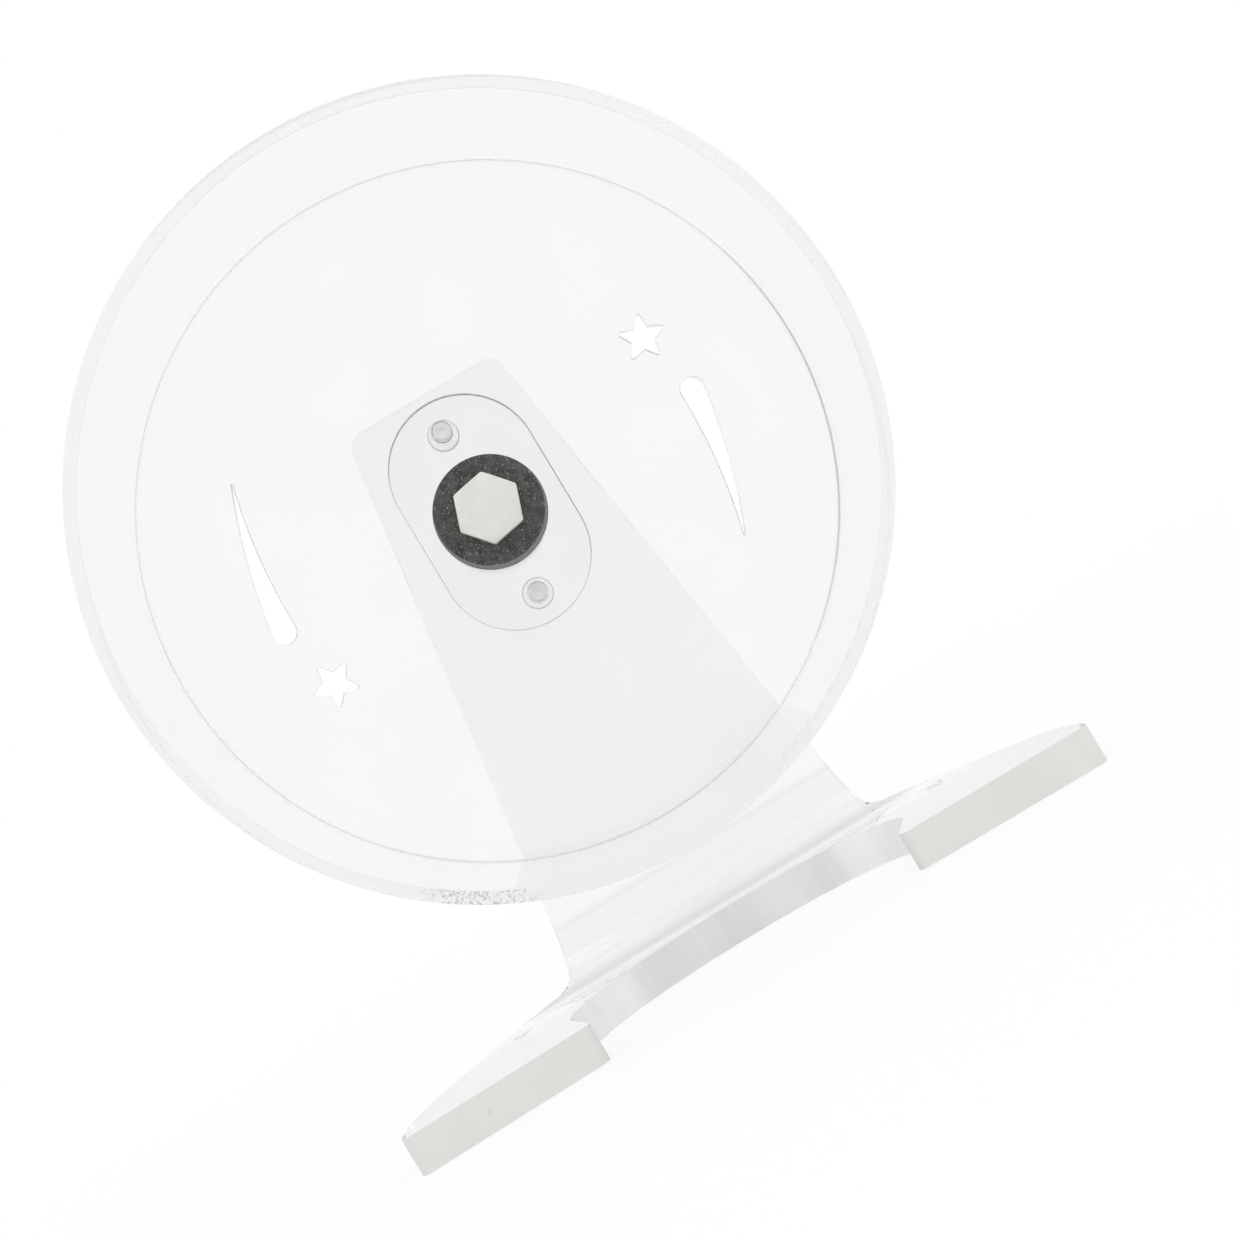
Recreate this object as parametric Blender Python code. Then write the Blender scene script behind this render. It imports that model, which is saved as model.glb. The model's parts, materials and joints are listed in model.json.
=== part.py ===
"""Hamster exercise wheel of clear acrylic.

A tube drum with a disc glued to its back turns on a shielded ball bearing. The bearing sits in an
upright that is heat-bent at the bottom into a forked foot. Metres, +Z up. The drum's open front
faces -Y, and the origin is on the ground under the middle of the whole model.
"""

import math

import bmesh
import bpy
from mathutils import Matrix, Vector

# Fits
SEAT_GAP = 0.0003          # between flat faces that rest on each other, and along glue lines
FIT_GAP = 0.0001           # radial, between a round piece and the bore that holds it
CUT_OVERRUN = 0.002        # how far a cutter reaches past what it cuts

# Wheel
DRUM_OUTER_DIAMETER = 0.150
DRUM_WALL = 0.0025
DRUM_LENGTH = 0.060
DRUM_EDGE_CHAMFER = 0.0003
DISC_THICKNESS = 0.003
WHEEL_CLEARANCE = 0.0037   # from the retainer's front to the disc's back

# Star cut-outs in the disc, two, a half turn apart
STAR_RADIUS = 0.0051
STAR_WAIST_RADIUS = 0.0024
STAR_TIP_ROUNDING = 0.0005
STAR_DISTANCE = 0.0479
STAR_POINTS = 5
STAR_BEARING_ANGLE = math.radians(17.6)
STAR_TURN = math.radians(-20)

# Comet-tail cut-outs in the disc, two, a half turn apart
TAIL_HEAD_RADIUS = 0.0026
TAIL_HEAD_DISTANCE = 0.0491
TAIL_TIP_DISTANCE = 0.0532
TAIL_HEAD_ANGLE = math.radians(0.5)
TAIL_TIP_ANGLE = math.radians(-36.6)
TAIL_BOW = 0.0011          # how far the tail's middle line bows outward of its chord
TAIL_END_WIDTH = 0.0003

# Axle bolt, nut and washers
AXLE_DIAMETER = 0.008
HEX_ACROSS_FLATS = 0.013
BOLT_HEAD_HEIGHT = 0.0053
NUT_HEIGHT = 0.0065
BOLT_PROTRUSION = 0.002    # past the nut
BOLT_END_CHAMFER = 0.0006
HEX_TURN = math.radians(10.5)
FRONT_WASHER_DIAMETER = 0.0238
FRONT_WASHER_THICKNESS = 0.002
WASHER_BORE_CLEARANCE = 0.0002
WASHER_EDGE_ROUNDING = 0.0003
SPACER_OUTER_DIAMETER = 0.0118
REAR_WASHER_THICKNESS = 0.0016

# Ball bearing
BEARING_OUTER_DIAMETER = 0.022
BEARING_WIDTH = 0.007
BEARING_CORNER = 0.0003
BALL_COUNT = 7
BALL_DIAMETER = 0.003969
BALL_CLEARANCE = 0.00005   # radial, between a ball and a race
BALL_CIRCLE_DIAMETER = 0.0155
RACE_GROOVE_SHARE = 0.53   # race groove radius as a share of the ball's diameter
RACE_DEPTH = 0.0007
CAGE_RADIAL_THICKNESS = 0.0018
CAGE_BACK = 0.0025         # behind the balls' middle plane
CAGE_FRONT = 0.0011        # in front of it
CAGE_POCKET_GAP = 0.0001
SHIELD_THICKNESS = 0.0003
SHIELD_RECESS = 0.0003
SHIELD_SEAT_DEPTH = 0.0005
SHIELD_BORE_CLEARANCE = 0.0003

# Stand: upright and forked foot, one plate
STAND_THICKNESS = 0.0078
AXLE_HEIGHT = 0.1026
BEND_INNER_RADIUS = 0.0124
UPRIGHT_ABOVE_AXLE = 0.0287
UPRIGHT_TOP_WIDTH = 0.036
UPRIGHT_CORNER_RADIUS = 0.0038
WAIST_WIDTH = 0.0724       # between the two corners where the upright's sides meet the wings
WAIST_RISE = 0.0082        # of those corners, from where the bend starts at the foot
WAIST_RADIUS = 0.007
HIP_WIDTH = 0.098
HIP_RISE = 0.0036          # from where the bend starts at the foot
HIP_RADIUS = 0.010
FOOT_REACH = 0.060         # from the upright's front face to the wing tips
FOOT_SPAN = 0.149
SHOULDER_REACH = 0.0166    # from a wing's front to where its side starts to draw in
SHOULDER_RADIUS = 0.043
WING_TIP_RADIUS = 0.002
BAY_MOUTH_WIDTH = 0.067
BAY_MOUTH_REACH = 0.0032   # from the wing tips back to the bay's mouth
BAY_NOTCH_WIDTH = 0.0756
BAY_NOTCH_REACH = 0.0213   # from the wing tips back to where the bay's half ellipse starts
BAY_DEPTH = 0.0241         # of the half ellipse
BAY_CORNER_RADIUS = 0.0018
BAY_NOTCH_RADIUS = 0.0006

# Bearing retainer and its two screws
RETAINER_THICKNESS = 0.004
RETAINER_WIDTH = 0.032
RETAINER_LENGTH = 0.0525
RETAINER_BORE_DIAMETER = 0.016
SCREW_DIAMETER = 0.004
SCREW_PITCH = 0.039
SCREW_HEAD_DIAMETER = 0.0068
SCREW_HEAD_HEIGHT = 0.0026
SCREW_SLOT_WIDTH = 0.0012
SCREW_SLOT_DEPTH = 0.0011
SCREW_TIP_CHAMFER = 0.0004

# How finely round shapes are divided
DRUM_STEPS = 108
ROUND_STEPS = 48
SMALL_STEPS = 32
CORNER_STEPS = 5
BEND_STEPS = 10
ARC_STEPS = 28
TAIL_STEPS = 12
GROOVE_STEPS = 6
BALL_SEGMENTS = 16
BALL_RINGS = 10
MERGE_DISTANCE = 0.000001
SMOOTH_ANGLE = math.radians(35)

# Places along the axle, from the upright's front face, with -Y towards the open front
RETAINER_FRONT = -SEAT_GAP - RETAINER_THICKNESS
DISC_BACK = RETAINER_FRONT - WHEEL_CLEARANCE
DISC_FRONT = DISC_BACK - DISC_THICKNESS
DRUM_BACK = DISC_FRONT - SEAT_GAP
DRUM_FRONT = DRUM_BACK - DRUM_LENGTH
FRONT_WASHER_BACK = DISC_FRONT - SEAT_GAP
FRONT_WASHER_FRONT = FRONT_WASHER_BACK - FRONT_WASHER_THICKNESS
BOLT_HEAD_BACK = FRONT_WASHER_FRONT - SEAT_GAP
BOLT_HEAD_FRONT = BOLT_HEAD_BACK - BOLT_HEAD_HEIGHT
REAR_WASHER_FRONT = BEARING_WIDTH + SEAT_GAP
REAR_WASHER_BACK = REAR_WASHER_FRONT + REAR_WASHER_THICKNESS
NUT_FRONT = REAR_WASHER_BACK + SEAT_GAP
NUT_BACK = NUT_FRONT + NUT_HEIGHT
BOLT_END = NUT_BACK + BOLT_PROTRUSION
UPRIGHT_FACE = -(DRUM_FRONT + BOLT_END) / 2

# Values worked out from the sizes above
DRUM_RADIUS = DRUM_OUTER_DIAMETER / 2
AXLE_RADIUS = AXLE_DIAMETER / 2
PASSING_BORE_RADIUS = AXLE_RADIUS + WASHER_BORE_CLEARANCE
BEND_MIDDLE_RADIUS = BEND_INNER_RADIUS + STAND_THICKNESS / 2
BEND_LENGTH = BEND_MIDDLE_RADIUS * math.pi / 2
BEND_START = FOOT_REACH - BEND_INNER_RADIUS
BEND_END = BEND_START + BEND_LENGTH
BEND_HEIGHT = STAND_THICKNESS + BEND_INNER_RADIUS
BLANK_LENGTH = BEND_END + AXLE_HEIGHT + UPRIGHT_ABOVE_AXLE - BEND_HEIGHT


def clear_scene():
    """Remove what the scene holds."""
    for item in list(bpy.data.objects):
        bpy.data.objects.remove(item, do_unlink=True)


def material(name, colour, roughness, metallic=0.0, transmission=0.0):
    """A surface with one colour."""
    surface = bpy.data.materials.new(name)
    surface.use_nodes = True
    shader = surface.node_tree.nodes["Principled BSDF"]
    shader.inputs["Base Color"].default_value = (*colour, 1.0)
    shader.inputs["Roughness"].default_value = roughness
    shader.inputs["Metallic"].default_value = metallic
    shader.inputs["Transmission Weight"].default_value = transmission
    shader.inputs["IOR"].default_value = 1.49
    surface.diffuse_color = (*colour, 1.0)
    return surface


def clear_acrylic(name):
    """Clear acrylic sheet or tube."""
    return material(name, (0.93, 0.95, 0.95), 0.03, transmission=1.0)


def steel(name, colour):
    """Steel with the tone given."""
    return material(name, colour, 0.28, metallic=1.0)


def pale_plastic(name):
    """Milky moulded plastic."""
    return material(name, (0.80, 0.81, 0.76), 0.4)


def empty(name, place):
    """An empty that carries the pieces of one frame or axis."""
    holder = bpy.data.objects.new(name, None)
    holder.location = place
    bpy.context.scene.collection.objects.link(holder)
    return holder


def piece(name, bm, surface, holder):
    """Turn a finished bmesh into a named object under its holder."""
    bmesh.ops.recalc_face_normals(bm, faces=bm.faces)
    mesh = bpy.data.meshes.new(name)
    bm.to_mesh(mesh)
    bm.free()
    mesh.shade_smooth()
    mesh.set_sharp_from_angle(angle=SMOOTH_ANGLE)
    mesh.materials.append(surface)
    item = bpy.data.objects.new(name, mesh)
    bpy.context.scene.collection.objects.link(item)
    item.parent = holder
    return item


def cutter(name, bm, holder):
    """A guide solid that a Boolean uses and the model leaves out."""
    bmesh.ops.recalc_face_normals(bm, faces=bm.faces)
    mesh = bpy.data.meshes.new(name)
    bm.to_mesh(mesh)
    bm.free()
    guide = bpy.data.objects.new(name, mesh)
    bpy.context.scene.collection.objects.link(guide)
    guide.parent = holder
    guide.hide_render = True
    guide.display_type = "WIRE"
    return guide


def combine(item, guide, operation):
    """Cut an object with a guide, or join the guide to it."""
    boolean = item.modifiers.new(guide.name, "BOOLEAN")
    boolean.operation = operation
    boolean.solver = "EXACT"
    boolean.object = guide


# Outlines in a plate's own plane


def circle(radius, steps, centre=(0.0, 0.0)):
    """Points round a circle."""
    turn = 2 * math.pi / steps
    return [
        (centre[0] + radius * math.cos(turn * i), centre[1] + radius * math.sin(turn * i))
        for i in range(steps)
    ]


def hexagon(across_flats):
    """Corners of a hexagon, as the bolt head lies in the wheel."""
    radius = across_flats / math.sqrt(3)
    return [
        (radius * math.cos(HEX_TURN + i * math.pi / 3), radius * math.sin(HEX_TURN + i * math.pi / 3))
        for i in range(6)
    ]


def arc_between(start, end, radius, steps):
    """Points strictly between two ends on an arc that bulges to the left of the way it runs."""
    a, b = Vector(start), Vector(end)
    chord = b - a
    half = chord.length / 2
    left = Vector((-chord.y, chord.x)).normalized()
    centre = (a + b) / 2 - left * math.sqrt(radius * radius - half * half)
    first = math.atan2(a.y - centre.y, a.x - centre.x)
    sweep = -2 * math.asin(half / radius)
    return [
        (centre.x + radius * math.cos(first + sweep * i / steps),
         centre.y + radius * math.sin(first + sweep * i / steps))
        for i in range(1, steps)
    ]


def bowed(start, end, bow, steps):
    """Points strictly between two ends on an arc that bows to the left by a given height."""
    half = (Vector(end) - Vector(start)).length / 2
    return arc_between(start, end, (half * half + bow * bow) / (2 * bow), steps)


def rounded(corners):
    """An outline from (point, radius) corners, with an arc at each corner that has a radius."""
    outline = []
    for i, (point, radius) in enumerate(corners):
        here = Vector(point)
        if radius == 0:
            outline.append(tuple(here))
            continue
        back = (Vector(corners[i - 1][0]) - here).normalized()
        ahead = (Vector(corners[(i + 1) % len(corners)][0]) - here).normalized()
        half_angle = back.angle(ahead) / 2
        reach = radius / math.tan(half_angle)
        middle = (back + ahead).normalized()
        centre = here + middle * (radius / math.sin(half_angle))
        first = here + back * reach - centre
        last = here + ahead * reach - centre
        sweep = first.angle_signed(last)
        for step in range(CORNER_STEPS + 1):
            arm = first.copy()
            arm.rotate(Matrix.Rotation(-sweep * step / CORNER_STEPS, 2))
            outline.append(tuple(centre + arm))
    return outline


def turned_about(points, angle):
    """Points turned about the wheel's axis."""
    c, s = math.cos(angle), math.sin(angle)
    return [(x * c - z * s, x * s + z * c) for x, z in points]


# Solids from outlines and profiles


def plate(outline, holes, thickness, front=0.0):
    """A flat plate in X and Z with cut holes, from front to front + thickness along Y."""
    bm = bmesh.new()
    for loop in [outline, *holes]:
        corners = [bm.verts.new((x, front, z)) for x, z in loop]
        for i, corner in enumerate(corners):
            bm.edges.new((corners[i - 1], corner))
    bmesh.ops.triangle_fill(bm, use_beauty=True, use_dissolve=False, edges=bm.edges[:])
    grown = bmesh.ops.extrude_face_region(bm, geom=bm.faces[:])
    moved = [part for part in grown["geom"] if isinstance(part, bmesh.types.BMVert)]
    bmesh.ops.translate(bm, verts=moved, vec=(0, thickness, 0))
    return bm


def turned(profile, steps):
    """A solid of revolution about Y, from a closed profile of (radius, y) points."""
    bm = bmesh.new()
    corners = [bm.verts.new((radius, y, 0)) for radius, y in profile]
    edges = [bm.edges.new((corners[i - 1], corner)) for i, corner in enumerate(corners)]
    bmesh.ops.spin(
        bm, geom=corners + edges, cent=(0, 0, 0), axis=(0, 1, 0), dvec=(0, 0, 0),
        angle=2 * math.pi, steps=steps, use_merge=True, use_duplicate=False,
    )
    bmesh.ops.remove_doubles(bm, verts=bm.verts[:], dist=MERGE_DISTANCE)
    return bm


def tube(inner, outer, front, back, chamfer, steps):
    """A turned ring or sleeve with broken edges."""
    profile = [
        (inner, front + chamfer), (inner + chamfer, front),
        (outer - chamfer, front), (outer, front + chamfer),
        (outer, back - chamfer), (outer - chamfer, back),
        (inner + chamfer, back), (inner, back - chamfer),
    ]
    return turned(profile, steps)


# The wheel


def star_outline():
    """A five-pointed star with rounded tips, about its own middle."""
    corners = []
    for i in range(2 * STAR_POINTS):
        angle = STAR_TURN + math.pi / 2 + i * math.pi / STAR_POINTS
        radius = STAR_WAIST_RADIUS if i % 2 else STAR_RADIUS
        rounding = 0 if i % 2 else STAR_TIP_ROUNDING
        corners.append(((radius * math.cos(angle), radius * math.sin(angle)), rounding))
    return rounded(corners)


def star_cut(half_turn):
    """One star, in its place on the disc."""
    middle = Vector((STAR_DISTANCE * math.cos(STAR_BEARING_ANGLE),
                     STAR_DISTANCE * math.sin(STAR_BEARING_ANGLE)))
    placed = [(x + middle.x, z + middle.y) for x, z in star_outline()]
    return turned_about(placed, half_turn * math.pi)


def tail_cut(half_turn):
    """One comet tail: round head, sides that draw in evenly to a thin tip."""
    head = Vector((math.cos(TAIL_HEAD_ANGLE), math.sin(TAIL_HEAD_ANGLE))) * TAIL_HEAD_DISTANCE
    tip = Vector((math.cos(TAIL_TIP_ANGLE), math.sin(TAIL_TIP_ANGLE))) * TAIL_TIP_DISTANCE
    line = [head, *(Vector(p) for p in bowed(head, tip, TAIL_BOW, TAIL_STEPS)), tip]
    left_side, right_side = [], []
    for i, point in enumerate(line):
        along = (line[min(i + 1, TAIL_STEPS)] - line[max(i - 1, 0)]).normalized()
        side = Vector((-along.y, along.x))
        share = i / TAIL_STEPS
        half_width = TAIL_HEAD_RADIUS * (1 - share) + TAIL_END_WIDTH / 2 * share
        left_side.append(point + side * half_width)
        right_side.append(point - side * half_width)
    arm = left_side[0] - head
    cap = []
    for step in range(1, 2 * CORNER_STEPS):
        swung = arm.copy()
        swung.rotate(Matrix.Rotation(math.pi * step / (2 * CORNER_STEPS), 2))
        cap.append(head + swung)
    outline = [tuple(p) for p in cap + right_side + left_side[::-1]]
    return turned_about(outline, half_turn * math.pi)


def make_drum(axis):
    """The running drum, a length of clear tube."""
    bm = tube(DRUM_RADIUS - DRUM_WALL, DRUM_RADIUS, DRUM_FRONT, DRUM_BACK, DRUM_EDGE_CHAMFER, DRUM_STEPS)
    piece("wheel_drum", bm, clear_acrylic("drum_acrylic"), axis)


def make_back_disc(axis):
    """The disc glued to the back of the drum, with its cut-outs and the bolt's hole."""
    holes = [circle(PASSING_BORE_RADIUS, SMALL_STEPS)]
    for half_turn in range(2):
        holes.append(star_cut(half_turn))
        holes.append(tail_cut(half_turn))
    bm = plate(circle(DRUM_RADIUS, DRUM_STEPS), holes, DISC_THICKNESS, DISC_FRONT)
    piece("wheel_back_disc", bm, clear_acrylic("disc_acrylic"), axis)


# The hub


def make_axle_bolt(axis):
    """The hexagon-head bolt that is the wheel's axle."""
    shank = turned([
        (0, BOLT_HEAD_BACK - BOLT_HEAD_HEIGHT / 2),
        (AXLE_RADIUS - FIT_GAP, BOLT_HEAD_BACK - BOLT_HEAD_HEIGHT / 2),
        (AXLE_RADIUS - FIT_GAP, BOLT_END - BOLT_END_CHAMFER),
        (AXLE_RADIUS - FIT_GAP - BOLT_END_CHAMFER, BOLT_END),
        (0, BOLT_END),
    ], SMALL_STEPS)
    head = plate(hexagon(HEX_ACROSS_FLATS), [], BOLT_HEAD_HEIGHT, BOLT_HEAD_FRONT)
    bolt = piece("axle_bolt", head, pale_plastic("bolt_plastic"), axis)
    combine(bolt, cutter("bolt_shank_guide", shank, axis), "UNION")


def make_axle_nut(axis):
    """The nut behind the upright."""
    bm = plate(hexagon(HEX_ACROSS_FLATS), [circle(AXLE_RADIUS, SMALL_STEPS)], NUT_HEIGHT, NUT_FRONT)
    piece("axle_nut", bm, pale_plastic("nut_plastic"), axis)


def make_washers(axis):
    """The large washer on the disc and the small one on the bearing."""
    bm = tube(PASSING_BORE_RADIUS, FRONT_WASHER_DIAMETER / 2, FRONT_WASHER_FRONT, FRONT_WASHER_BACK,
              WASHER_EDGE_ROUNDING, ROUND_STEPS)
    piece("front_washer", bm, steel("washer_steel", (0.10, 0.10, 0.11)), axis)
    bm = tube(PASSING_BORE_RADIUS, SPACER_OUTER_DIAMETER / 2, REAR_WASHER_FRONT, REAR_WASHER_BACK,
              WASHER_EDGE_ROUNDING, SMALL_STEPS)
    piece("rear_washer", bm, steel("rear_washer_steel", (0.45, 0.45, 0.46)), axis)


def make_spacer(axis):
    """The bush that holds the disc clear of the bearing."""
    bm = tube(PASSING_BORE_RADIUS, SPACER_OUTER_DIAMETER / 2, DISC_BACK + SEAT_GAP, -SEAT_GAP,
              WASHER_EDGE_ROUNDING, SMALL_STEPS)
    piece("spacer_bush", bm, pale_plastic("spacer_plastic"), axis)


# The ball bearing, from the upright's front face to BEARING_WIDTH behind it


def race_groove(circle_radius, outward):
    """Points of a race groove, front to back, as (radius, y). Outward is 1 for the outer race."""
    groove = BALL_DIAMETER * RACE_GROOVE_SHARE
    bottom = circle_radius + outward * (BALL_DIAMETER / 2 + BALL_CLEARANCE)
    centre = bottom - outward * groove
    edge = math.acos((groove - RACE_DEPTH) / groove)
    points = []
    for i in range(GROOVE_STEPS + 1):
        angle = edge * (2 * i / GROOVE_STEPS - 1)
        points.append((centre + outward * groove * math.cos(angle),
                       BEARING_WIDTH / 2 + groove * math.sin(angle)))
    return points


def land_radius(outward):
    """Radius of the plain land beside a race groove."""
    return BALL_CIRCLE_DIAMETER / 2 + outward * (BALL_DIAMETER / 2 + BALL_CLEARANCE - RACE_DEPTH)


def make_bearing_rings(stand_axis, wheel_axis):
    """Outer ring with its two shield seats, and inner ring."""
    outer = BEARING_OUTER_DIAMETER / 2
    land = land_radius(1)
    seat = land + SHIELD_SEAT_DEPTH
    seat_reach = SHIELD_RECESS + SHIELD_THICKNESS + SEAT_GAP
    profile = [
        (outer - BEARING_CORNER, 0), (seat, 0), (seat, seat_reach), (land, seat_reach),
        *race_groove(BALL_CIRCLE_DIAMETER / 2, 1),
        (land, BEARING_WIDTH - seat_reach), (seat, BEARING_WIDTH - seat_reach), (seat, BEARING_WIDTH),
        (outer - BEARING_CORNER, BEARING_WIDTH), (outer, BEARING_WIDTH - BEARING_CORNER),
        (outer, BEARING_CORNER),
    ]
    chrome = (0.55, 0.55, 0.56)
    piece("bearing_outer_ring", turned(profile, ROUND_STEPS), steel("outer_ring_steel", chrome), stand_axis)
    land = land_radius(-1)
    profile = [
        (AXLE_RADIUS + BEARING_CORNER, 0), (land, 0),
        *race_groove(BALL_CIRCLE_DIAMETER / 2, -1),
        (land, BEARING_WIDTH), (AXLE_RADIUS + BEARING_CORNER, BEARING_WIDTH),
        (AXLE_RADIUS, BEARING_WIDTH - BEARING_CORNER), (AXLE_RADIUS, BEARING_CORNER),
    ]
    piece("bearing_inner_ring", turned(profile, ROUND_STEPS), steel("inner_ring_steel", chrome), wheel_axis)


def make_shields(axis):
    """The two pressed shields in the outer ring."""
    bore = land_radius(-1) + SHIELD_BORE_CLEARANCE
    rim = land_radius(1) + SHIELD_SEAT_DEPTH - FIT_GAP
    rear = BEARING_WIDTH - SHIELD_RECESS - SHIELD_THICKNESS
    for name, front in (("bearing_shield_front", SHIELD_RECESS), ("bearing_shield_rear", rear)):
        back = front + SHIELD_THICKNESS
        profile = [(bore, front), (rim, front), (rim, back), (bore, back)]
        piece(name, turned(profile, ROUND_STEPS), steel(name + "_steel", (0.5, 0.5, 0.5)), axis)


def ball_place(index):
    """Centre of one ball."""
    angle = 2 * math.pi * index / BALL_COUNT
    radius = BALL_CIRCLE_DIAMETER / 2
    return Vector((radius * math.sin(angle), BEARING_WIDTH / 2, radius * math.cos(angle)))


def make_balls(axis):
    """The balls, each a separate piece."""
    surface = steel("ball_steel", (0.6, 0.6, 0.62))
    for i in range(BALL_COUNT):
        bm = bmesh.new()
        bmesh.ops.create_uvsphere(
            bm, u_segments=BALL_SEGMENTS, v_segments=BALL_RINGS, radius=BALL_DIAMETER / 2)
        bmesh.ops.translate(bm, verts=bm.verts[:], vec=ball_place(i))
        piece(f"bearing_ball_{i + 1}", bm, surface, axis)


def make_cage(axis):
    """The cage that spaces the balls: a ring with an open-sided pocket for each."""
    middle = BALL_CIRCLE_DIAMETER / 2
    inner, outer = middle - CAGE_RADIAL_THICKNESS / 2, middle + CAGE_RADIAL_THICKNESS / 2
    front, back = BEARING_WIDTH / 2 - CAGE_FRONT, BEARING_WIDTH / 2 + CAGE_BACK
    ring = turned([(inner, front), (outer, front), (outer, back), (inner, back)], ROUND_STEPS)
    cage = piece("bearing_cage", ring, material("cage_plastic", (0.75, 0.73, 0.66), 0.5), axis)
    pockets = bmesh.new()
    for i in range(BALL_COUNT):
        made = bmesh.ops.create_uvsphere(
            pockets, u_segments=BALL_SEGMENTS, v_segments=BALL_RINGS,
            radius=BALL_DIAMETER / 2 + CAGE_POCKET_GAP)
        bmesh.ops.translate(pockets, verts=made["verts"], vec=ball_place(i))
    combine(cage, cutter("ball_pockets", pockets, axis), "DIFFERENCE")


# The stand


def bay_arc():
    """The bay's half ellipse, from its right end to its left."""
    points = []
    for i in range(1, ARC_STEPS):
        angle = math.pi * i / ARC_STEPS
        points.append((BAY_NOTCH_WIDTH / 2 * math.cos(angle), BAY_NOTCH_REACH + BAY_DEPTH * math.sin(angle)))
    return points


def side_corners():
    """Corners of the flat blank's right side, from the top edge down to the bay, with radii."""
    return [
        ((UPRIGHT_TOP_WIDTH / 2, BLANK_LENGTH), UPRIGHT_CORNER_RADIUS),
        ((WAIST_WIDTH / 2, BEND_START + WAIST_RISE), WAIST_RADIUS),
        ((HIP_WIDTH / 2, BEND_START + HIP_RISE), HIP_RADIUS),
        ((FOOT_SPAN / 2, SHOULDER_REACH), SHOULDER_RADIUS),
        ((FOOT_SPAN / 2, 0.0), WING_TIP_RADIUS),
        ((BAY_MOUTH_WIDTH / 2, BAY_MOUTH_REACH), BAY_CORNER_RADIUS),
        ((BAY_NOTCH_WIDTH / 2, BAY_NOTCH_REACH), BAY_NOTCH_RADIUS),
    ]


def blank_outline():
    """The flat blank's whole outline, with the left side mirrored from the right."""
    right = side_corners()
    left = [((-point[0], point[1]), radius) for point, radius in right]
    return rounded(right + [(point, 0) for point in bay_arc()] + left[::-1])


def bent(place):
    """Where a point of the flat blank lies once the plate is bent. Y is depth into the plate."""
    x, depth, along = place
    if along <= BEND_START:
        return Vector((x, along - FOOT_REACH, STAND_THICKNESS - depth))
    if along >= BEND_END:
        return Vector((x, depth, BEND_HEIGHT + along - BEND_END))
    angle = (along - BEND_START) / BEND_LENGTH * math.pi / 2
    radius = BEND_INNER_RADIUS + depth
    return Vector((x, radius * math.sin(angle) - BEND_INNER_RADIUS, BEND_HEIGHT - radius * math.cos(angle)))


def make_stand(frame):
    """Cut the flat blank with its holes, score it across the bend and bend it."""
    hub = BEND_END + AXLE_HEIGHT - BEND_HEIGHT
    holes = [circle(BEARING_OUTER_DIAMETER / 2 + FIT_GAP, ROUND_STEPS, (0, hub))]
    for side in (-1, 1):
        holes.append(circle(SCREW_DIAMETER / 2 + FIT_GAP, SMALL_STEPS, (0, hub + side * SCREW_PITCH / 2)))
    bm = plate(blank_outline(), holes, STAND_THICKNESS)
    for i in range(BEND_STEPS + 1):
        along = BEND_START + BEND_LENGTH * i / BEND_STEPS
        bmesh.ops.bisect_plane(
            bm, geom=bm.verts[:] + bm.edges[:] + bm.faces[:], dist=MERGE_DISTANCE,
            plane_co=(0, 0, along), plane_no=(0, 0, 1))
    for corner in bm.verts:
        corner.co = bent(corner.co)
    piece("stand", bm, clear_acrylic("stand_acrylic"), frame)


# The bearing retainer and its screws


def make_retainer(frame):
    """The plate with round ends that closes the bearing's seat."""
    end = (RETAINER_LENGTH - RETAINER_WIDTH) / 2
    radius = RETAINER_WIDTH / 2
    outline = []
    for side in (1, -1):
        for i in range(SMALL_STEPS // 2 + 1):
            angle = 2 * math.pi * i / SMALL_STEPS
            outline.append((side * radius * math.cos(angle), side * (end + radius * math.sin(angle))))
    holes = [circle(RETAINER_BORE_DIAMETER / 2, ROUND_STEPS)]
    for side in (-1, 1):
        holes.append(circle(SCREW_DIAMETER / 2 + FIT_GAP, SMALL_STEPS, (0, side * SCREW_PITCH / 2)))
    bm = plate(outline, holes, RETAINER_THICKNESS, RETAINER_FRONT)
    piece("bearing_retainer", bm, clear_acrylic("retainer_acrylic"), frame)


def make_screws(frame):
    """Two slotted screws with their heads at the back and their tips level with the retainer."""
    radius = SCREW_DIAMETER / 2
    head = SCREW_HEAD_DIAMETER / 2
    head_front = STAND_THICKNESS + SEAT_GAP
    head_back = head_front + SCREW_HEAD_HEIGHT
    profile = [
        (0, RETAINER_FRONT), (radius - SCREW_TIP_CHAMFER, RETAINER_FRONT),
        (radius, RETAINER_FRONT + SCREW_TIP_CHAMFER), (radius, head_front),
        (head, head_front), (head, head_back - SCREW_TIP_CHAMFER),
        (head - SCREW_TIP_CHAMFER, head_back), (0, head_back),
    ]
    surface = material("screw_plastic", (0.78, 0.79, 0.76), 0.35)
    for name, side in (("retainer_screw_upper", 1), ("retainer_screw_lower", -1)):
        height = side * SCREW_PITCH / 2
        bm = turned(profile, SMALL_STEPS)
        bmesh.ops.translate(bm, verts=bm.verts[:], vec=(0, 0, height))
        screw = piece(name, bm, surface, frame)
        slot = bmesh.new()
        bmesh.ops.create_cube(slot, size=1.0)
        size = (SCREW_HEAD_DIAMETER + CUT_OVERRUN, SCREW_SLOT_DEPTH + CUT_OVERRUN, SCREW_SLOT_WIDTH)
        bmesh.ops.scale(slot, verts=slot.verts[:], vec=size)
        middle = head_back - SCREW_SLOT_DEPTH + size[1] / 2
        bmesh.ops.translate(slot, verts=slot.verts[:], vec=(0, middle, height))
        combine(screw, cutter(name + "_slot", slot, frame), "DIFFERENCE")


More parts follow.
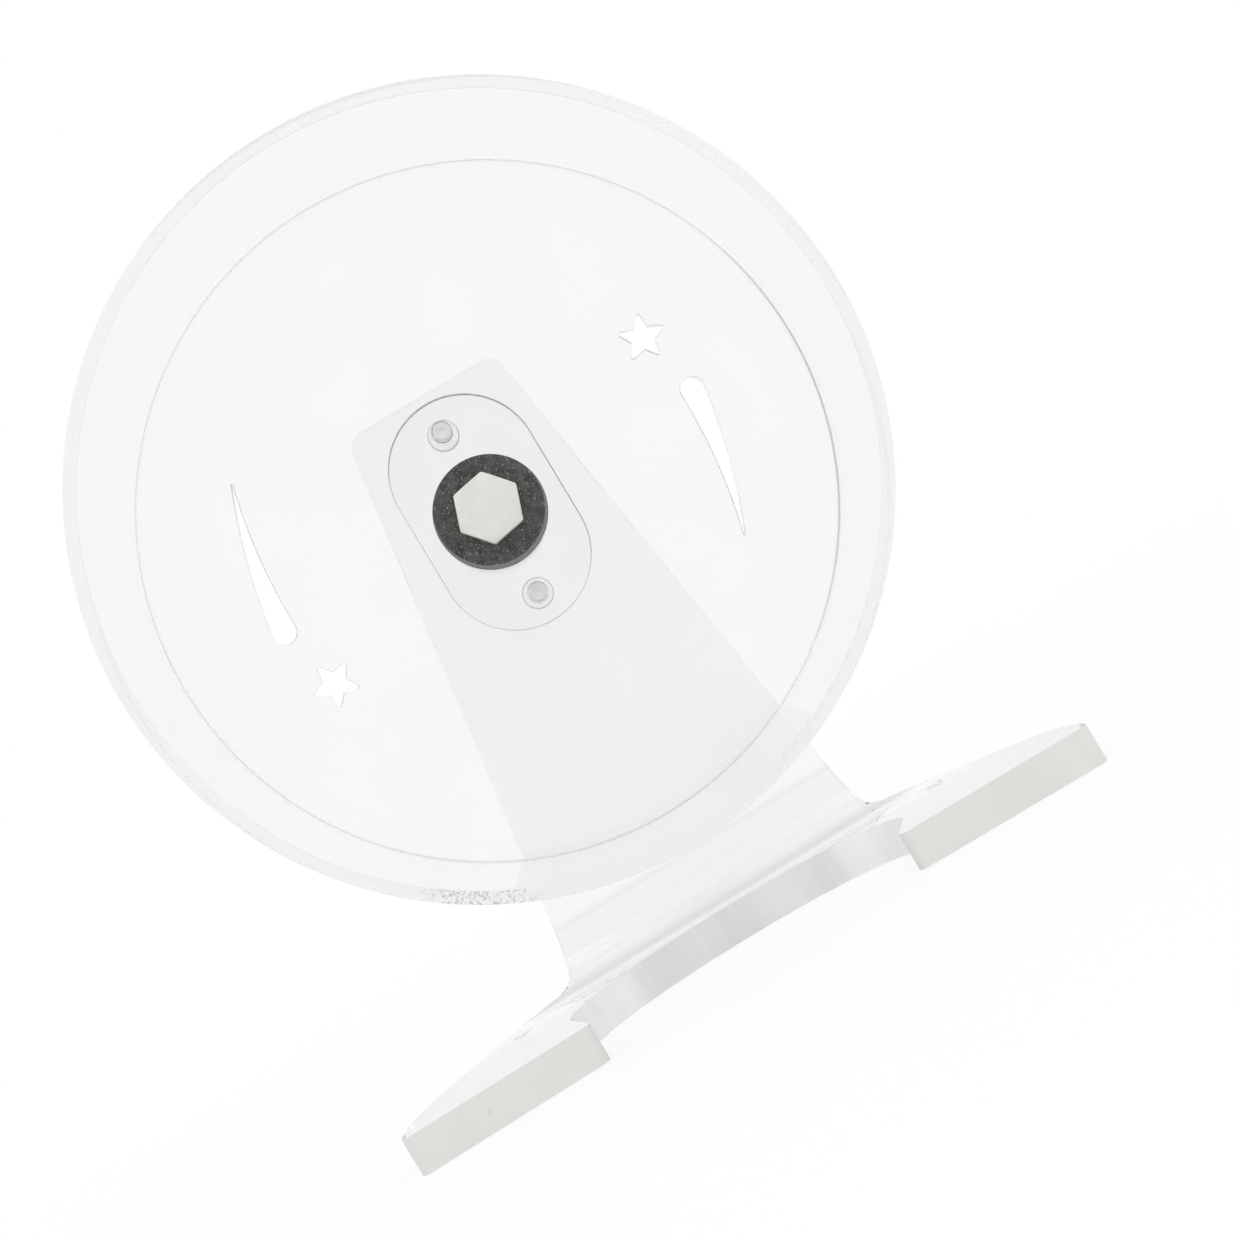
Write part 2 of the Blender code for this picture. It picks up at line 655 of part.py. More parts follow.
def main():
    """Build every piece in its place."""
    clear_scene()
    hub = (0, UPRIGHT_FACE, AXLE_HEIGHT)
    stand_frame = empty("stand_frame", (0, UPRIGHT_FACE, 0))
    bearing_seat = empty("bearing_seat", hub)
    wheel_axis = empty("wheel_axis", hub)
    cage_axis = empty("cage_axis", hub)
    make_stand(stand_frame)
    make_retainer(bearing_seat)
    make_screws(bearing_seat)
    make_bearing_rings(bearing_seat, wheel_axis)
    make_shields(bearing_seat)
    make_cage(cage_axis)
    make_balls(cage_axis)
    make_spacer(wheel_axis)
    make_back_disc(wheel_axis)
    make_drum(wheel_axis)
    make_washers(wheel_axis)
    make_axle_bolt(wheel_axis)
    make_axle_nut(wheel_axis)


main()
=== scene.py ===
"""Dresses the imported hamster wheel: clear acrylic, sawn and laser-cut edges, steel and nylon, on a pale studio floor.

Lengths are in metres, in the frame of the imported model: +Z up, and the drum's open front faces -Y.
"""

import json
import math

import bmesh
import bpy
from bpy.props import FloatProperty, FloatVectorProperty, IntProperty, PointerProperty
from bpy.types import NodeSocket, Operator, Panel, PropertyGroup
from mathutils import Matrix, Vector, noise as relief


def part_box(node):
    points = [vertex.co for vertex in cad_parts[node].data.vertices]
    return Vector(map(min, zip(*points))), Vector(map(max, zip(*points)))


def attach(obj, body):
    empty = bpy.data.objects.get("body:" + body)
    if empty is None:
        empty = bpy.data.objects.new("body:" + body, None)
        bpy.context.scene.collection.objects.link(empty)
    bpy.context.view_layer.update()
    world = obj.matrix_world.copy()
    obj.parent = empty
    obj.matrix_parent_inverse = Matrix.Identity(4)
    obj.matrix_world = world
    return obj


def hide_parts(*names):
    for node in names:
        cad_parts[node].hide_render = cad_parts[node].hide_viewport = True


bl_info = {
    "name": "Hamster wheel dressing",
    "version": (1, 0, 0),
    "blender": (4, 5, 0),
    "location": "View3D > Sidebar > Hamster Wheel",
    "description": "Builds the visible pieces and finishes of a clear acrylic hamster exercise wheel",
    "category": "Object",
}

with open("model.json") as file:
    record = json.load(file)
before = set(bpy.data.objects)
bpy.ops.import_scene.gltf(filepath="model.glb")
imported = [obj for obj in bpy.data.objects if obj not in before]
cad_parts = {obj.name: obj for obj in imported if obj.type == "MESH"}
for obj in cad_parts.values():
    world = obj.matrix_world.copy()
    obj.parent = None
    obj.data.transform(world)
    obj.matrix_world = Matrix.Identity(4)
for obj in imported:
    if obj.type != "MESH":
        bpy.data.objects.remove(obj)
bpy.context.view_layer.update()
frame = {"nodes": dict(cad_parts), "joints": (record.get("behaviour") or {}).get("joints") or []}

MILLIMETRE = 0.001
HUB = Vector(next(joint["pos_m"] for joint in frame["joints"] if joint["name"] == "wheel_spin"))
AXLE = (HUB.x, 0, HUB.z)
WHEEL_STEPS = 288       # sides of the drum and the disc
SMOOTH_ANGLE = math.radians(50)
FACE_SLOT, EDGE_SLOT, BREAK_SLOT, FROST_SLOT, BAY_SLOT = range(5)    # material slots of a plate


# Sizes and colours that a user would change


def number(name, description, default, least=0.0):
    """A plain number."""
    return FloatProperty(name=name, description=description, default=default, min=least)


def length(name, description, default, least=0.0):
    """A length in metres, shown in the scene's units."""
    return FloatProperty(name=name, description=description, default=default, min=least, unit="LENGTH",
                         subtype="DISTANCE", precision=5)


def share(name, description, default):
    """A number from 0 to 1."""
    return FloatProperty(name=name, description=description, default=default, min=0.0, max=1.0, subtype="FACTOR")


def angle(name, description, degrees):
    """An angle, written in degrees."""
    return FloatProperty(name=name, description=description, default=math.radians(degrees), subtype="ANGLE")


def colour(name, description, default):
    """A linear colour."""
    return FloatVectorProperty(name=name, description=description, default=default, min=0.0, max=1.0, size=3,
                               subtype="COLOR")


class HAMSTERWHEEL_PG_stand(PropertyGroup):
    """The heat-bent plate and the retainer screwed to it."""

    bend_radius: length("Bend radius", "Inner radius of the heat bend", 0.0124)
    top_width: length("Top width", "Width of the upright's top edge", 0.036)
    top_rounding: length("Top rounding", "Radius of the upright's top corners", 0.0038)
    waist_width: length("Waist width", "Between the corners where the upright meets the wings", 0.0724)
    waist_rise: length("Waist rise", "Of those corners, from where the bend starts at the foot", 0.0082)
    waist_radius: length("Waist radius", "Fillet of those corners", 0.007)
    hip_width: length("Hip width", "Between the wings' rear corners", 0.098)
    hip_rise: length("Hip rise", "Of the rear corners, from where the bend starts", 0.0036)
    hip_radius: length("Hip radius", "Rounding of the rear corners", 0.010)
    shoulder_reach: length("Shoulder reach", "From a wing's front to where its side draws in", 0.0166)
    shoulder_radius: length("Shoulder radius", "Rounding of the wings' sides", 0.043)
    tip_radius: length("Tip radius", "Rounding of the wings' front corners", 0.002)
    mouth_width: length("Mouth width", "Width of the fork's open front", 0.067)
    mouth_reach: length("Mouth reach", "From the wing tips back to the mouth", 0.0032)
    mouth_radius: length("Mouth radius", "Rounding of the mouth's corners", 0.0018)
    notch_width: length("Notch width", "Widest part of the fork's bay", 0.0756)
    notch_reach: length("Notch reach", "From the wing tips back to the widest part", 0.0213)
    notch_radius: length("Notch radius", "Rounding of the bay's side corners", 0.0006)
    bay_depth: length("Bay depth", "Depth of the bay's half ellipse", 0.0241)
    edge_break: length("Edge break", "Width of the broken edge on the thick plate", 0.00005)
    bearing_gap: length("Bearing gap", "Between the bearing and its hole", 0.0001)
    screw_pitch: length("Screw pitch", "Between the two retainer screws", 0.039)
    screw_hole: length("Screw hole", "Diameter of the screws' holes", 0.0042)
    retainer_break: length("Retainer break", "Width of the retainer's broken edge", 0.00015)
    retainer_bore: length("Retainer bore", "Diameter of the hole in the retainer", 0.016)
    pucker_reach: length("Pucker reach", "How far the cut wall is puckered round a waist corner", 0.0065)
    pucker_depth: length("Pucker depth", "Of the puckers that the heat left in the cut wall", 0.0006)
    pucker_rise: length("Pucker rise", "Of the puckers' middle, from the waist corner", 0.0018)
    pucker_width: length("Pucker width", "Of one pucker", 0.0011)
    fleck_side: length("Fleck side", "Sideways place of the fleck in the left wing's front edge", -0.0578, least=-1.0)
    fleck_reach: length("Fleck reach", "From the wing tips back to the fleck", 0.0013)
    fleck_height: length("Fleck height", "Above the ground", 0.0037)
    fleck_radius: length("Fleck radius", "Out to where the fleck has faded", 0.0008)


class HAMSTERWHEEL_PG_wheel(PropertyGroup):
    """The drum, its disc and the cut-outs."""

    wall: length("Drum wall", "Thickness of the drum's wall", 0.0025)
    edge_break: length("Edge break", "Width of the broken edge on the tube, and twice the disc's", 0.00008)
    axle_hole: length("Axle hole", "Diameter of the hole for the axle", 0.0084)
    star_radius: length("Star radius", "From a star's middle to its tips", 0.0057)
    star_waist: length("Star waist", "From a star's middle to its inner corners", 0.00255)
    star_rounding: length("Star rounding", "Rounding of the tips", 0.0005)
    star_distance: length("Star distance", "From the axle to a star's middle", 0.0479)
    star_place: angle("Star place", "Angle of the first star", 17.6)
    star_turn: angle("Star turn", "How far a star is turned", -20)
    tail_head_radius: length("Tail head radius", "Radius of a comet tail's round head", 0.0026)
    tail_head_distance: length("Tail head distance", "From the axle to the head", 0.0491)
    tail_tip_distance: length("Tail tip distance", "From the axle to the tip", 0.0532)
    tail_head_place: angle("Tail head place", "Angle of the first head", 0)
    tail_tip_place: angle("Tail tip place", "Angle of the first tip", -36.6)
    tail_bow: length("Tail bow", "How far a tail bows outward", 0.0011)
    tail_end_width: length("Tail end width", "Width of a tail at its tip", 0.0003)
    tick_place: angle("Tick place", "Angle of the chattered patch on the turned end", 239)
    tick_span: angle("Tick span", "Half the angle of that patch", 9)
    glue_fillet: length("Glue fillet", "Reach of the glue in the corner of drum and disc", 0.0003)
    glue_skin: length("Glue skin", "How far the glue runs into the joint", 0.00004)
    # painted shade: the angle where the glue line is painted darkest
    glue_painted_shade_place: angle("Glue place", "Angle where most of the glue ran", 345)


class HAMSTERWHEEL_PG_hub(PropertyGroup):
    """Axle, washers, bearing and screws."""

    axle_diameter: length("Axle diameter", "Outer diameter of the axle's thread", 0.0078)
    across_flats: length("Across flats", "Of the bolt head and the nut", 0.013)
    hex_turn: angle("Hexagon turn", "Angle of the bolt head's first corner", 10.5)
    hex_face: share("Hexagon face", "The round face inside the chamfer, as a share of the flats", 0.97)
    head_gap: length("Head gap", "Between the bolt's head and the large washer", 0.0003)
    thread_pitch: length("Thread pitch", "Of the axle", 0.00125)
    thread_depth: length("Thread depth", "Of the axle", 0.0006)
    nut_mouth: length("Nut mouth", "Chamfer at both ends of the nut's bore", 0.0005)
    washer_bore: length("Washer bore", "Inner diameter of the washers and the bush", 0.0084)
    washer_rounding: length("Washer rounding", "Rounding of the washers' punched edges", 0.00025)
    large_bore: length("Large bore", "Inner diameter of the large washer, which hangs on the axle", 0.0092)
    washer_drop: length("Washer drop", "How far the large washer hangs below the axle's line", 0.0006)
    bearing_bore: length("Bearing bore", "Inner diameter of the bearing", 0.008)
    ring_rounding: length("Ring rounding", "Rounding of the bearing rings' corners", 0.0002)
    shield_gap: length("Shield gap", "Between a shield and the ring that holds it", 0.0001)
    shield_bore_gap: length("Shield bore gap", "Between a shield and the inner ring", 0.0003)
    shield_rim: length("Shield rim", "Width of the shield's raised rim", 0.0011)
    shield_roll: length("Shield roll", "Height of the step between rim and middle", 0.00008)
    race_land: length("Race land", "Step from the shield's seat to the land beside the raceway", 0.0005)
    race_depth: length("Race depth", "Of the outer ring's raceway", 0.0007)
    screw_diameter: length("Screw diameter", "Outer diameter of the retainer screws' thread", 0.004)
    screw_thread_pitch: length("Screw thread pitch", "Of the retainer screws", 0.0007)
    screw_thread_depth: length("Screw thread depth", "Of the retainer screws", 0.0002)
    screw_head_height: length("Screw head height", "Of the retainer screws", 0.0026)
    screw_head_rounding: length("Screw head rounding", "Of the head's outer edge", 0.00045)
    screw_head_chamfer: length("Screw head chamfer", "Of the head's inner edge", 0.00022)
    slot_width: length("Slot width", "Of the screwdriver slot", 0.0012)
    slot_depth: length("Slot depth", "Of the screwdriver slot", 0.0011)
    steps: IntProperty(name="Steps", description="Sides of the round pieces of the hub", default=96, min=24)


class HAMSTERWHEEL_PG_finish(PropertyGroup):
    """Colours of the finishes."""

    stand_acrylic: colour("Stand acrylic", "Tint of the thick plate", (0.936, 0.938, 0.949))
    retainer_acrylic: colour("Retainer acrylic", "Tint of the retainer", (0.995, 0.995, 0.995))
    drum_acrylic: colour("Drum acrylic", "Tint of the tube", (0.948, 0.948, 0.949))
    disc_acrylic: colour("Disc acrylic", "Tint of the disc", (0.935, 0.935, 0.936))
    frosted: colour("Frosted edge", "Front edges of the foot", (0.701, 0.720, 0.688))
    # painted light: the bay edge is a lighter copy of the frosted front edge
    bay: colour("Bay edge", "Edge of the foot's bay", (0.957, 0.969, 0.950))
    retainer_burn: colour("Retainer's broken edge", "Its laser-burnt corner", (0.87, 0.87, 0.87))
    disc_burn: colour("Disc's broken edge", "Its laser-burnt corner", (0.97, 0.97, 0.975))
    # painted shade: the screw head's rim is painted darker to show its outline
    screw_rim_painted_shade: colour("Screw rim", "Moulded rim of a screw's head", (0.80, 0.80, 0.78))
    thick_cut: colour("Thick cut edge", "Glossy edges of the thick plate", (0.985, 0.99, 0.985))
    disc_cut: colour("Disc's cut edge", "Edges of the disc", (0.97, 0.97, 0.975))
    retainer_cut: colour("Retainer's cut edge", "Edge of the retainer", (0.78, 0.78, 0.79))
    tube_end: colour("Tube end", "Turned front end of the drum", (0.838, 0.838, 0.839))
    glue: colour("Glue", "Glue in the corner of drum and disc", (0.98, 0.98, 0.98))
    nylon: colour("Nylon", "Milky moulded bolt, nut and bush", (0.692, 0.697, 0.650))
    screw: colour("Screw", "Clear plastic screws", (0.97, 0.97, 0.965))
    screw_tip: colour("Screw tip", "Frosted tips of the screws", (0.98, 0.98, 0.955))
    dark_steel: colour("Dark steel", "Large washer", (0.082, 0.081, 0.078))
    bright_steel: colour("Bright steel", "Bearing rings", (0.56, 0.56, 0.57))


class HAMSTERWHEEL_PG_studio(PropertyGroup):
    """Camera, lamps and floor."""

    lens: number("Lens", "Focal length on a 36 mm sensor, in millimetres", 67.75, least=1.0)
    camera_side: length("Camera side", "Sideways from the hub", -0.0065, least=-1.0)
    camera_distance: length("Camera distance", "In front of the hub", 0.491)
    camera_height: length("Camera height", "Above the ground", 0.070)
    camera_yaw: angle("Camera yaw", "How far the camera looks to the right", 2.11)
    camera_roll: angle("Camera roll", "How far the camera leans to the right", 31)
    shift_side: number("Shift sideways", "Of the frame, in frame widths", 0.0012, least=-1.0)
    shift_up: number("Shift upward", "Of the frame, in frame widths", -0.0008, least=-1.0)
    world_light: number("World light", "Strength of the even light", 0.88)
    key_power: number("Key power", "Watts of the large lamp", 3.0)
    fill_power: number("Fill power", "Watts of the side lamp", 2.0)
    floor_drop: length("Floor drop", "How far the floor lies below the foot", 0.0003)
    floor_glow: share("Floor glow", "How much of the floor's white is its own", 0.86)
    floor_fade_start: length("Floor fade start", "Where the floor starts to fade to white", 0.08)
    floor_fade_end: length("Floor fade end", "Where the floor is plain white", 0.45)


# Outlines in a plate's own plane


def polar(radius, turn, centre=(0.0, 0.0)):
    """The point at a radius and an angle from a centre."""
    return centre[0] + radius * math.cos(turn), centre[1] + radius * math.sin(turn)


def circle(radius, steps, centre=(0.0, 0.0)):
    """Points round a circle."""
    step = 2 * math.pi / steps
    return [polar(radius, step * i, centre) for i in range(steps)]


def bowed(start, end, bow, steps):
    """Points strictly between two ends on an arc that bows to the left of the way it runs."""
    a, b = Vector(start), Vector(end)
    chord = b - a
    half = chord.length / 2
    radius = (half * half + bow * bow) / (2 * bow)
    left = Vector((-chord.y, chord.x)).normalized()
    centre = (a + b) / 2 - left * (radius - bow)
    first = math.atan2(a.y - centre.y, a.x - centre.x)
    sweep = -2 * math.asin(half / radius)
    return [polar(radius, first + sweep * i / steps, centre) for i in range(1, steps)]


def rounded(corners, steps):
    """An outline from (point, radius) corners, with an arc at each corner that has a radius."""
    outline = []
    for i, (point, radius) in enumerate(corners):
        here = Vector(point)
        if radius == 0:
            outline.append(tuple(here))
            continue
        back = (Vector(corners[i - 1][0]) - here).normalized()
        ahead = (Vector(corners[(i + 1) % len(corners)][0]) - here).normalized()
        half_angle = back.angle(ahead) / 2
        reach = radius / math.tan(half_angle)
        centre = here + (back + ahead).normalized() * (radius / math.sin(half_angle))
        first = here + back * reach - centre
        sweep = first.angle_signed(here + ahead * reach - centre)
        for step in range(steps + 1):
            arm = first.copy()
            arm.rotate(Matrix.Rotation(-sweep * step / steps, 2))
            outline.append(tuple(centre + arm))
    return outline


def turned_about(points, turn):
    """Points turned about the wheel's axis."""
    c, s = math.cos(turn), math.sin(turn)
    return [(x * c - z * s, x * s + z * c) for x, z in points]


def grown(loop, distance):
    """A closed loop moved outward to the left or right of its run by a distance, mitred at its corners."""
    moved = []
    for i, point in enumerate(loop):
        here = Vector(point)
        before = (here - Vector(loop[i - 1])).normalized()
        after = (Vector(loop[(i + 1) % len(loop)]) - here).normalized()
        side = Vector((before.y + after.y, -before.x - after.x)).normalized()
        spread_share = max(0.5, side.dot(Vector((before.y, -before.x))))
        moved.append(tuple(here + side * (distance / spread_share)))
    return moved


def counter_clockwise(loop):
    """The loop in the order that runs counter-clockwise."""
    area = sum(loop[i - 1][0] * p[1] - p[0] * loop[i - 1][1] for i, p in enumerate(loop))
    return loop if area > 0 else loop[::-1]


# Meshes


BREAK_SHARES = ((1.0, 0.0), (0.62, 0.08), (0.29, 0.29), (0.08, 0.62), (0.0, 1.0))  # in, and along


def plate_mesh(outline, holes, thickness, front, edge_break, wall_rows=0):
    """A plate in X and Z with softly broken edges. Its cut walls and broken edges have slots of their own."""
    bm = bmesh.new()
    back = front + thickness
    broken = len(BREAK_SHARES) - 1
    caps = ([], [])
    for loop, outward in [(outline, -1), *((hole, 1) for hole in holes)]:
        loop = counter_clockwise(loop)
        edge = [(grown(loop, outward * inset * edge_break), along * edge_break) for inset, along in BREAK_SHARES]
        rows = [(points, front + depth) for points, depth in edge]
        rows += [(loop, front + thickness * i / (wall_rows + 1)) for i in range(1, wall_rows + 1)]
        rows += [(points, back - depth) for points, depth in edge[::-1]]
        rings = [[bm.verts.new((x, y, z)) for x, z in points] for points, y in rows]
        for row, (near, far) in enumerate(zip(rings, rings[1:])):
            on_wall = broken <= row < len(rings) - 1 - broken
            for i, corner in enumerate(near):
                face = bm.faces.new((near[i - 1], corner, far[i], far[i - 1]))
                face.material_index = EDGE_SLOT if on_wall else BREAK_SLOT
        caps[0].append(rings[0])
        caps[1].append(rings[-1])
    for side in caps:
        rim = [bm.edges.get((ring[i - 1], corner)) for ring in side for i, corner in enumerate(ring)]
        bmesh.ops.triangle_fill(bm, use_beauty=True, use_dissolve=False, edges=rim)
    bmesh.ops.recalc_face_normals(bm, faces=bm.faces)
    return bm


def turned_mesh(rows, steps, ring=True):
    """A form turned about the axle from rows of (radius, y), which may be functions of the angle.

    A ring closes on itself, and any other form is capped at both ends.
    """
    bm = bmesh.new()
    rings = []
    for radius, y in rows:
        corners = []
        for i in range(steps):
            turn = 2 * math.pi * i / steps
            x, z = polar(radius(turn) if callable(radius) else radius, turn)
            corners.append(bm.verts.new((x, y(turn) if callable(y) else y, z)))
        rings.append(corners)
    for near, far in zip(rings, rings[1:] + rings[:1] if ring else rings[1:]):
        for i, corner in enumerate(near):
            bm.faces.new((near[i - 1], corner, far[i], far[i - 1]))
    if not ring:
        bm.faces.new(rings[0])
        bm.faces.new(rings[-1])
    bmesh.ops.recalc_face_normals(bm, faces=bm.faces)
    return bm


def soft_ring(inner, outer, front, back, rounding):
    """Rows of a washer or sleeve with rounded edges."""
    rows = []
    for radius, y, out, way in ((inner, front, 1, 1), (outer, front, -1, 1),
                                (outer, back, -1, -1), (inner, back, 1, -1)):
        corner = [(radius + out * inset * rounding, y + way * along * rounding) for inset, along in BREAK_SHARES]
        rows += corner[::-1] if out == way else corner
    return rows


def thread_rows(outer, depth, pitch, start, end, rows_per_turn):
    """Rows of a rounded screw thread of constant pitch, fading out at both ends."""
    count = max(2, round((end - start) / pitch * rows_per_turn))
    rows = []
    for i in range(count + 1):
        y = start + (end - start) * i / count
        fade = min(1.0, (y - start) / pitch, (end - y) / pitch)

        def radius(turn, y=y, fade=fade):
            phase = y / pitch - turn / (2 * math.pi)
            crest = 0.5 + 0.5 * math.cos(2 * math.pi * phase)
            return outer - depth * (1 - fade * crest) if fade > 0 else outer - depth

        rows.append((radius, y))
    return rows


def node_radius(node):
    """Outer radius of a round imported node."""
    low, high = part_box(node)
    return (high.x - low.x) / 2


def new_object(name, bm):
    """An object in the scene from a finished mesh."""
    mesh = bpy.data.meshes.new(name)
    bm.to_mesh(mesh)
    bm.free()
    item = bpy.data.objects.new(name, mesh)
    bpy.context.scene.collection.objects.link(item)
    return item


def finish_piece(name, bm, body, surfaces, nodes, place=AXLE, weighted=True):
    """Make the object of a finished mesh, with its finish, body and the nodes it stands for."""
    bmesh.ops.translate(bm, verts=bm.verts[:], vec=place)
    item = new_object(name, bm)
    for surface in surfaces:
        item.data.materials.append(surface)
    item.data.shade_smooth()
    item.data.set_sharp_from_angle(angle=SMOOTH_ANGLE)
    if weighted:
        normals = item.modifiers.new("flat faces stay flat", "WEIGHTED_NORMAL")
        normals.keep_sharp = True
        normals.weight = 50
    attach(item, body)
    if nodes:
        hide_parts(*nodes)
    return item


# Finishes


WHITE = (1.0, 1.0, 1.0)


def scaled(base, amount):
    """A colour made darker or lighter by a share of itself."""
    return tuple(min(1.0, channel * amount) for channel in base)


class Nodes:
    """Short ways to add and join shader nodes. A term is a value or the output of another node."""

    def __init__(self, owner):
        owner.use_nodes = True
        self.tree = owner.node_tree

    def put(self, term, socket):
        """Link a term to a socket, or set the socket to it."""
        if isinstance(term, NodeSocket):
            self.tree.links.new(term, socket)
        else:
            socket.default_value = (*term, 1.0) if socket.type == "RGBA" else term

    def node(self, kind, terms=None, **settings):
        """A new node with its settings, and terms for its inputs by their names or numbers."""
        node = self.tree.nodes.new("ShaderNode" + kind)
        for key, value in settings.items():
            setattr(node, key, value)
        for key, term in (terms or {}).items():
            self.put(term, node.inputs[key])
        return node

    def place(self):
        """The place of a point in metres."""
        return self.node("TexCoord").outputs["Object"]

    def along(self, axis):
        """One coordinate of a point in metres."""
        return self.node("SeparateXYZ", {"Vector": self.place()}).outputs[axis]

    def maths(self, operation, first, second):
        """A number from two."""
        return self.node("Math", {0: first, 1: second}, operation=operation).outputs["Value"]

    def vector(self, operation, *terms):
        """A vector from others, or their length, distance or dot product."""
        node = self.node("VectorMath", dict(enumerate(terms)), operation=operation)
        return next(output for output in node.outputs if output.enabled)

    def mixed(self, factor, first, second, way="MIX"):
        """A colour between two, by a factor."""
        return self.node("Mix", {"Factor": factor, "A": first, "B": second}, data_type="RGBA",
                         blend_type=way).outputs["Result"]

    def multiplied(self, first, second):
        """Two colours multiplied."""
        return self.mixed(1.0, first, second, "MULTIPLY")

    def darkened(self, amount, darkest):
        """White where an amount is 0, and a share of white where it is 1."""
        return self.mixed(amount, WHITE, scaled(WHITE, darkest))

    def ranged(self, source, low, high, out_low=0.0, out_high=1.0):
        """A number mapped from one range to another, held at both ends."""
        return self.node("MapRange", {"Value": source, "From Min": low, "From Max": high, "To Min": out_low,
                                      "To Max": out_high}).outputs["Result"]

    def ramped(self, source, shares):
        """A number that follows pairs of place and value, both from 0 to 1."""
        ramp = self.node("ValToRGB", {"Fac": source})
        stops = ramp.color_ramp.elements
        while len(stops) < len(shares):
            stops.new(1.0)
        for stop, (position, value) in zip(stops, shares):
            stop.position = position
            stop.color = (value, value, value, 1.0)
        return ramp.outputs["Color"]

    def noise(self, scale, detail=3.0, stretch=None, roughness=0.55):
        """Noise in the piece's own coordinates, from 0 to 1."""
        source = self.place()
        if stretch:
            source = self.node("Mapping", {"Vector": source, "Scale": stretch}).outputs["Vector"]
        return self.node("TexNoise", {"Vector": source, "Scale": scale, "Detail": detail,
                                      "Roughness": roughness}).outputs["Fac"]

    def wavering(self, axis, amount):
        """One coordinate of a point, shaken a little by soft noise."""
        shake = self.ranged(self.noise(scale=60.0, detail=2.0), 0.3, 0.7, -amount, amount)
        return self.maths("ADD", self.along(axis), shake)

    def from_axle(self):
        """The way from the axle to a point, in the wheel's plane."""
        return self.vector("MULTIPLY", self.vector("SUBTRACT", self.place(), HUB), (1.0, 0.0, 1.0))

    def off_axle(self):
        """The distance of a point from the axle."""
        return self.vector("LENGTH", self.from_axle())

    def facing(self, turn):
        """How far a point lies round the axle towards an angle, from -1 to 1."""
        heading = self.vector("NORMALIZE", self.from_axle())
        return self.vector("DOT_PRODUCT", heading, (math.cos(turn), 0.0, math.sin(turn)))

    def plainly_seen(self):
        """1 for rays from the camera and for what glass and steel show of them."""
        rays = self.node("LightPath").outputs
        first = self.maths("MAXIMUM", rays["Is Camera Ray"], rays["Is Glossy Ray"])
        return self.maths("MAXIMUM", first, rays["Is Transmission Ray"])

    def either(self, factor, first, second):
        """One shader or another, by a factor."""
        return self.node("MixShader", {"Fac": factor, 1: first, 2: second}).outputs["Shader"]


class Finish(Nodes):
    """A material under way, with its even values on the shader's own sockets."""

    def __init__(self, name, base, roughness, metallic=0.0, transmission=0.0, ior=1.49):
        self.surface = bpy.data.materials.new(name)
        self.surface.diffuse_color = (*base, 1.0)
        super().__init__(self.surface)
        self.base = base
        self.shader = self.tree.nodes["Principled BSDF"]
        for key, value in (("Base Color", base), ("Roughness", roughness), ("Metallic", metallic),
                           ("Transmission Weight", transmission), ("IOR", ior)):
            self.put(value, self.shader.inputs[key])

    def varied(self, source, start, end, low=0.35, high=0.65):
        """The base colour from one share of itself to another, as a number rises from low to high."""
        return self.mixed(self.ranged(source, low, high), scaled(self.base, start), scaled(self.base, end))

    def paint(self, tone, fleck_and_painted_shade=None):
        """Use a colour, multiplied by a fleck and painted shade where there is one."""
        self.put(self.multiplied(tone, fleck_and_painted_shade(self)) if fleck_and_painted_shade else tone, self.shader.inputs["Base Color"])

    def roughen(self, source, smooth, rough, low=0.3, high=0.7):
        """Let the roughness follow a number that rises from low to high."""
        self.put(self.ranged(source, low, high, smooth, rough), self.shader.inputs["Roughness"])

    def emboss(self, source, strength, distance):
        """Add fine relief from a height."""
        bump = self.node("Bump", {"Strength": strength, "Distance": distance, "Height": source})
        self.put(bump.outputs["Normal"], self.shader.inputs["Normal"])

    def show(self, shader):
        """Use another shader for the surface."""
        self.put(shader, self.tree.nodes["Material Output"].inputs["Surface"])


def clear_acrylic(name, tint, painted_shade=None):
    """Polished clear acrylic with faint drawn streaks and scuffs, and a painted shade where one is given. Rays from the
    lamps pass it.
    """
    finish = Finish(name, tint, roughness=0.02, transmission=1.0)
    even = finish.varied(finish.noise(scale=45.0, detail=2.0), start=1.0, end=0.985)
    # where a painted shade is given, it darkens the tint
    finish.paint(finish.mixed(painted_shade(finish), even, scaled(tint, 0.61)) if painted_shade else even)
    scuffs = finish.noise(scale=900.0, detail=4.0, stretch=(1.0, 0.25, 0.25), roughness=0.7)
    finish.roughen(scuffs, smooth=0.015, rough=0.16, low=0.60, high=0.80)
    lamp_ray = finish.node("LightPath").outputs["Is Shadow Ray"]
    clear = finish.node("BsdfTransparent", {"Color": tuple(0.98 * math.sqrt(channel) for channel in tint)})
    finish.show(finish.either(lamp_ray, finish.shader.outputs["BSDF"], clear.outputs["BSDF"]))
    return finish.surface


def frosted_edge(name, base, band_strength, fleck_and_painted_shade):
    """Cut acrylic seen into its depth: milky, slightly green, with cutter marks across the thickness."""
    finish = Finish(name, base, roughness=0.38, transmission=0.05)
    marks = finish.noise(scale=1300.0, detail=4.0, stretch=(1.0, 1.0, 0.03), roughness=0.65)
    bands = finish.noise(scale=95.0, stretch=(1.0, 0.3, 0.04), roughness=0.7)
    darkest = scaled(WHITE, 1 - 2 * band_strength)
    banded = finish.mixed(finish.ranged(bands, 0.36, 0.64), darkest, WHITE)
    lined = finish.mixed(finish.ranged(marks, 0.30, 0.70), darkest, WHITE)
    patches = finish.varied(finish.noise(scale=70.0, detail=2.0), start=0.985, end=1.015)
    finish.paint(finish.multiplied(finish.multiplied(patches, banded), lined), fleck_and_painted_shade)
    finish.roughen(marks, smooth=0.30, rough=0.46)
    finish.emboss(marks, strength=0.2, distance=0.1 * MILLIMETRE)
    return finish.surface


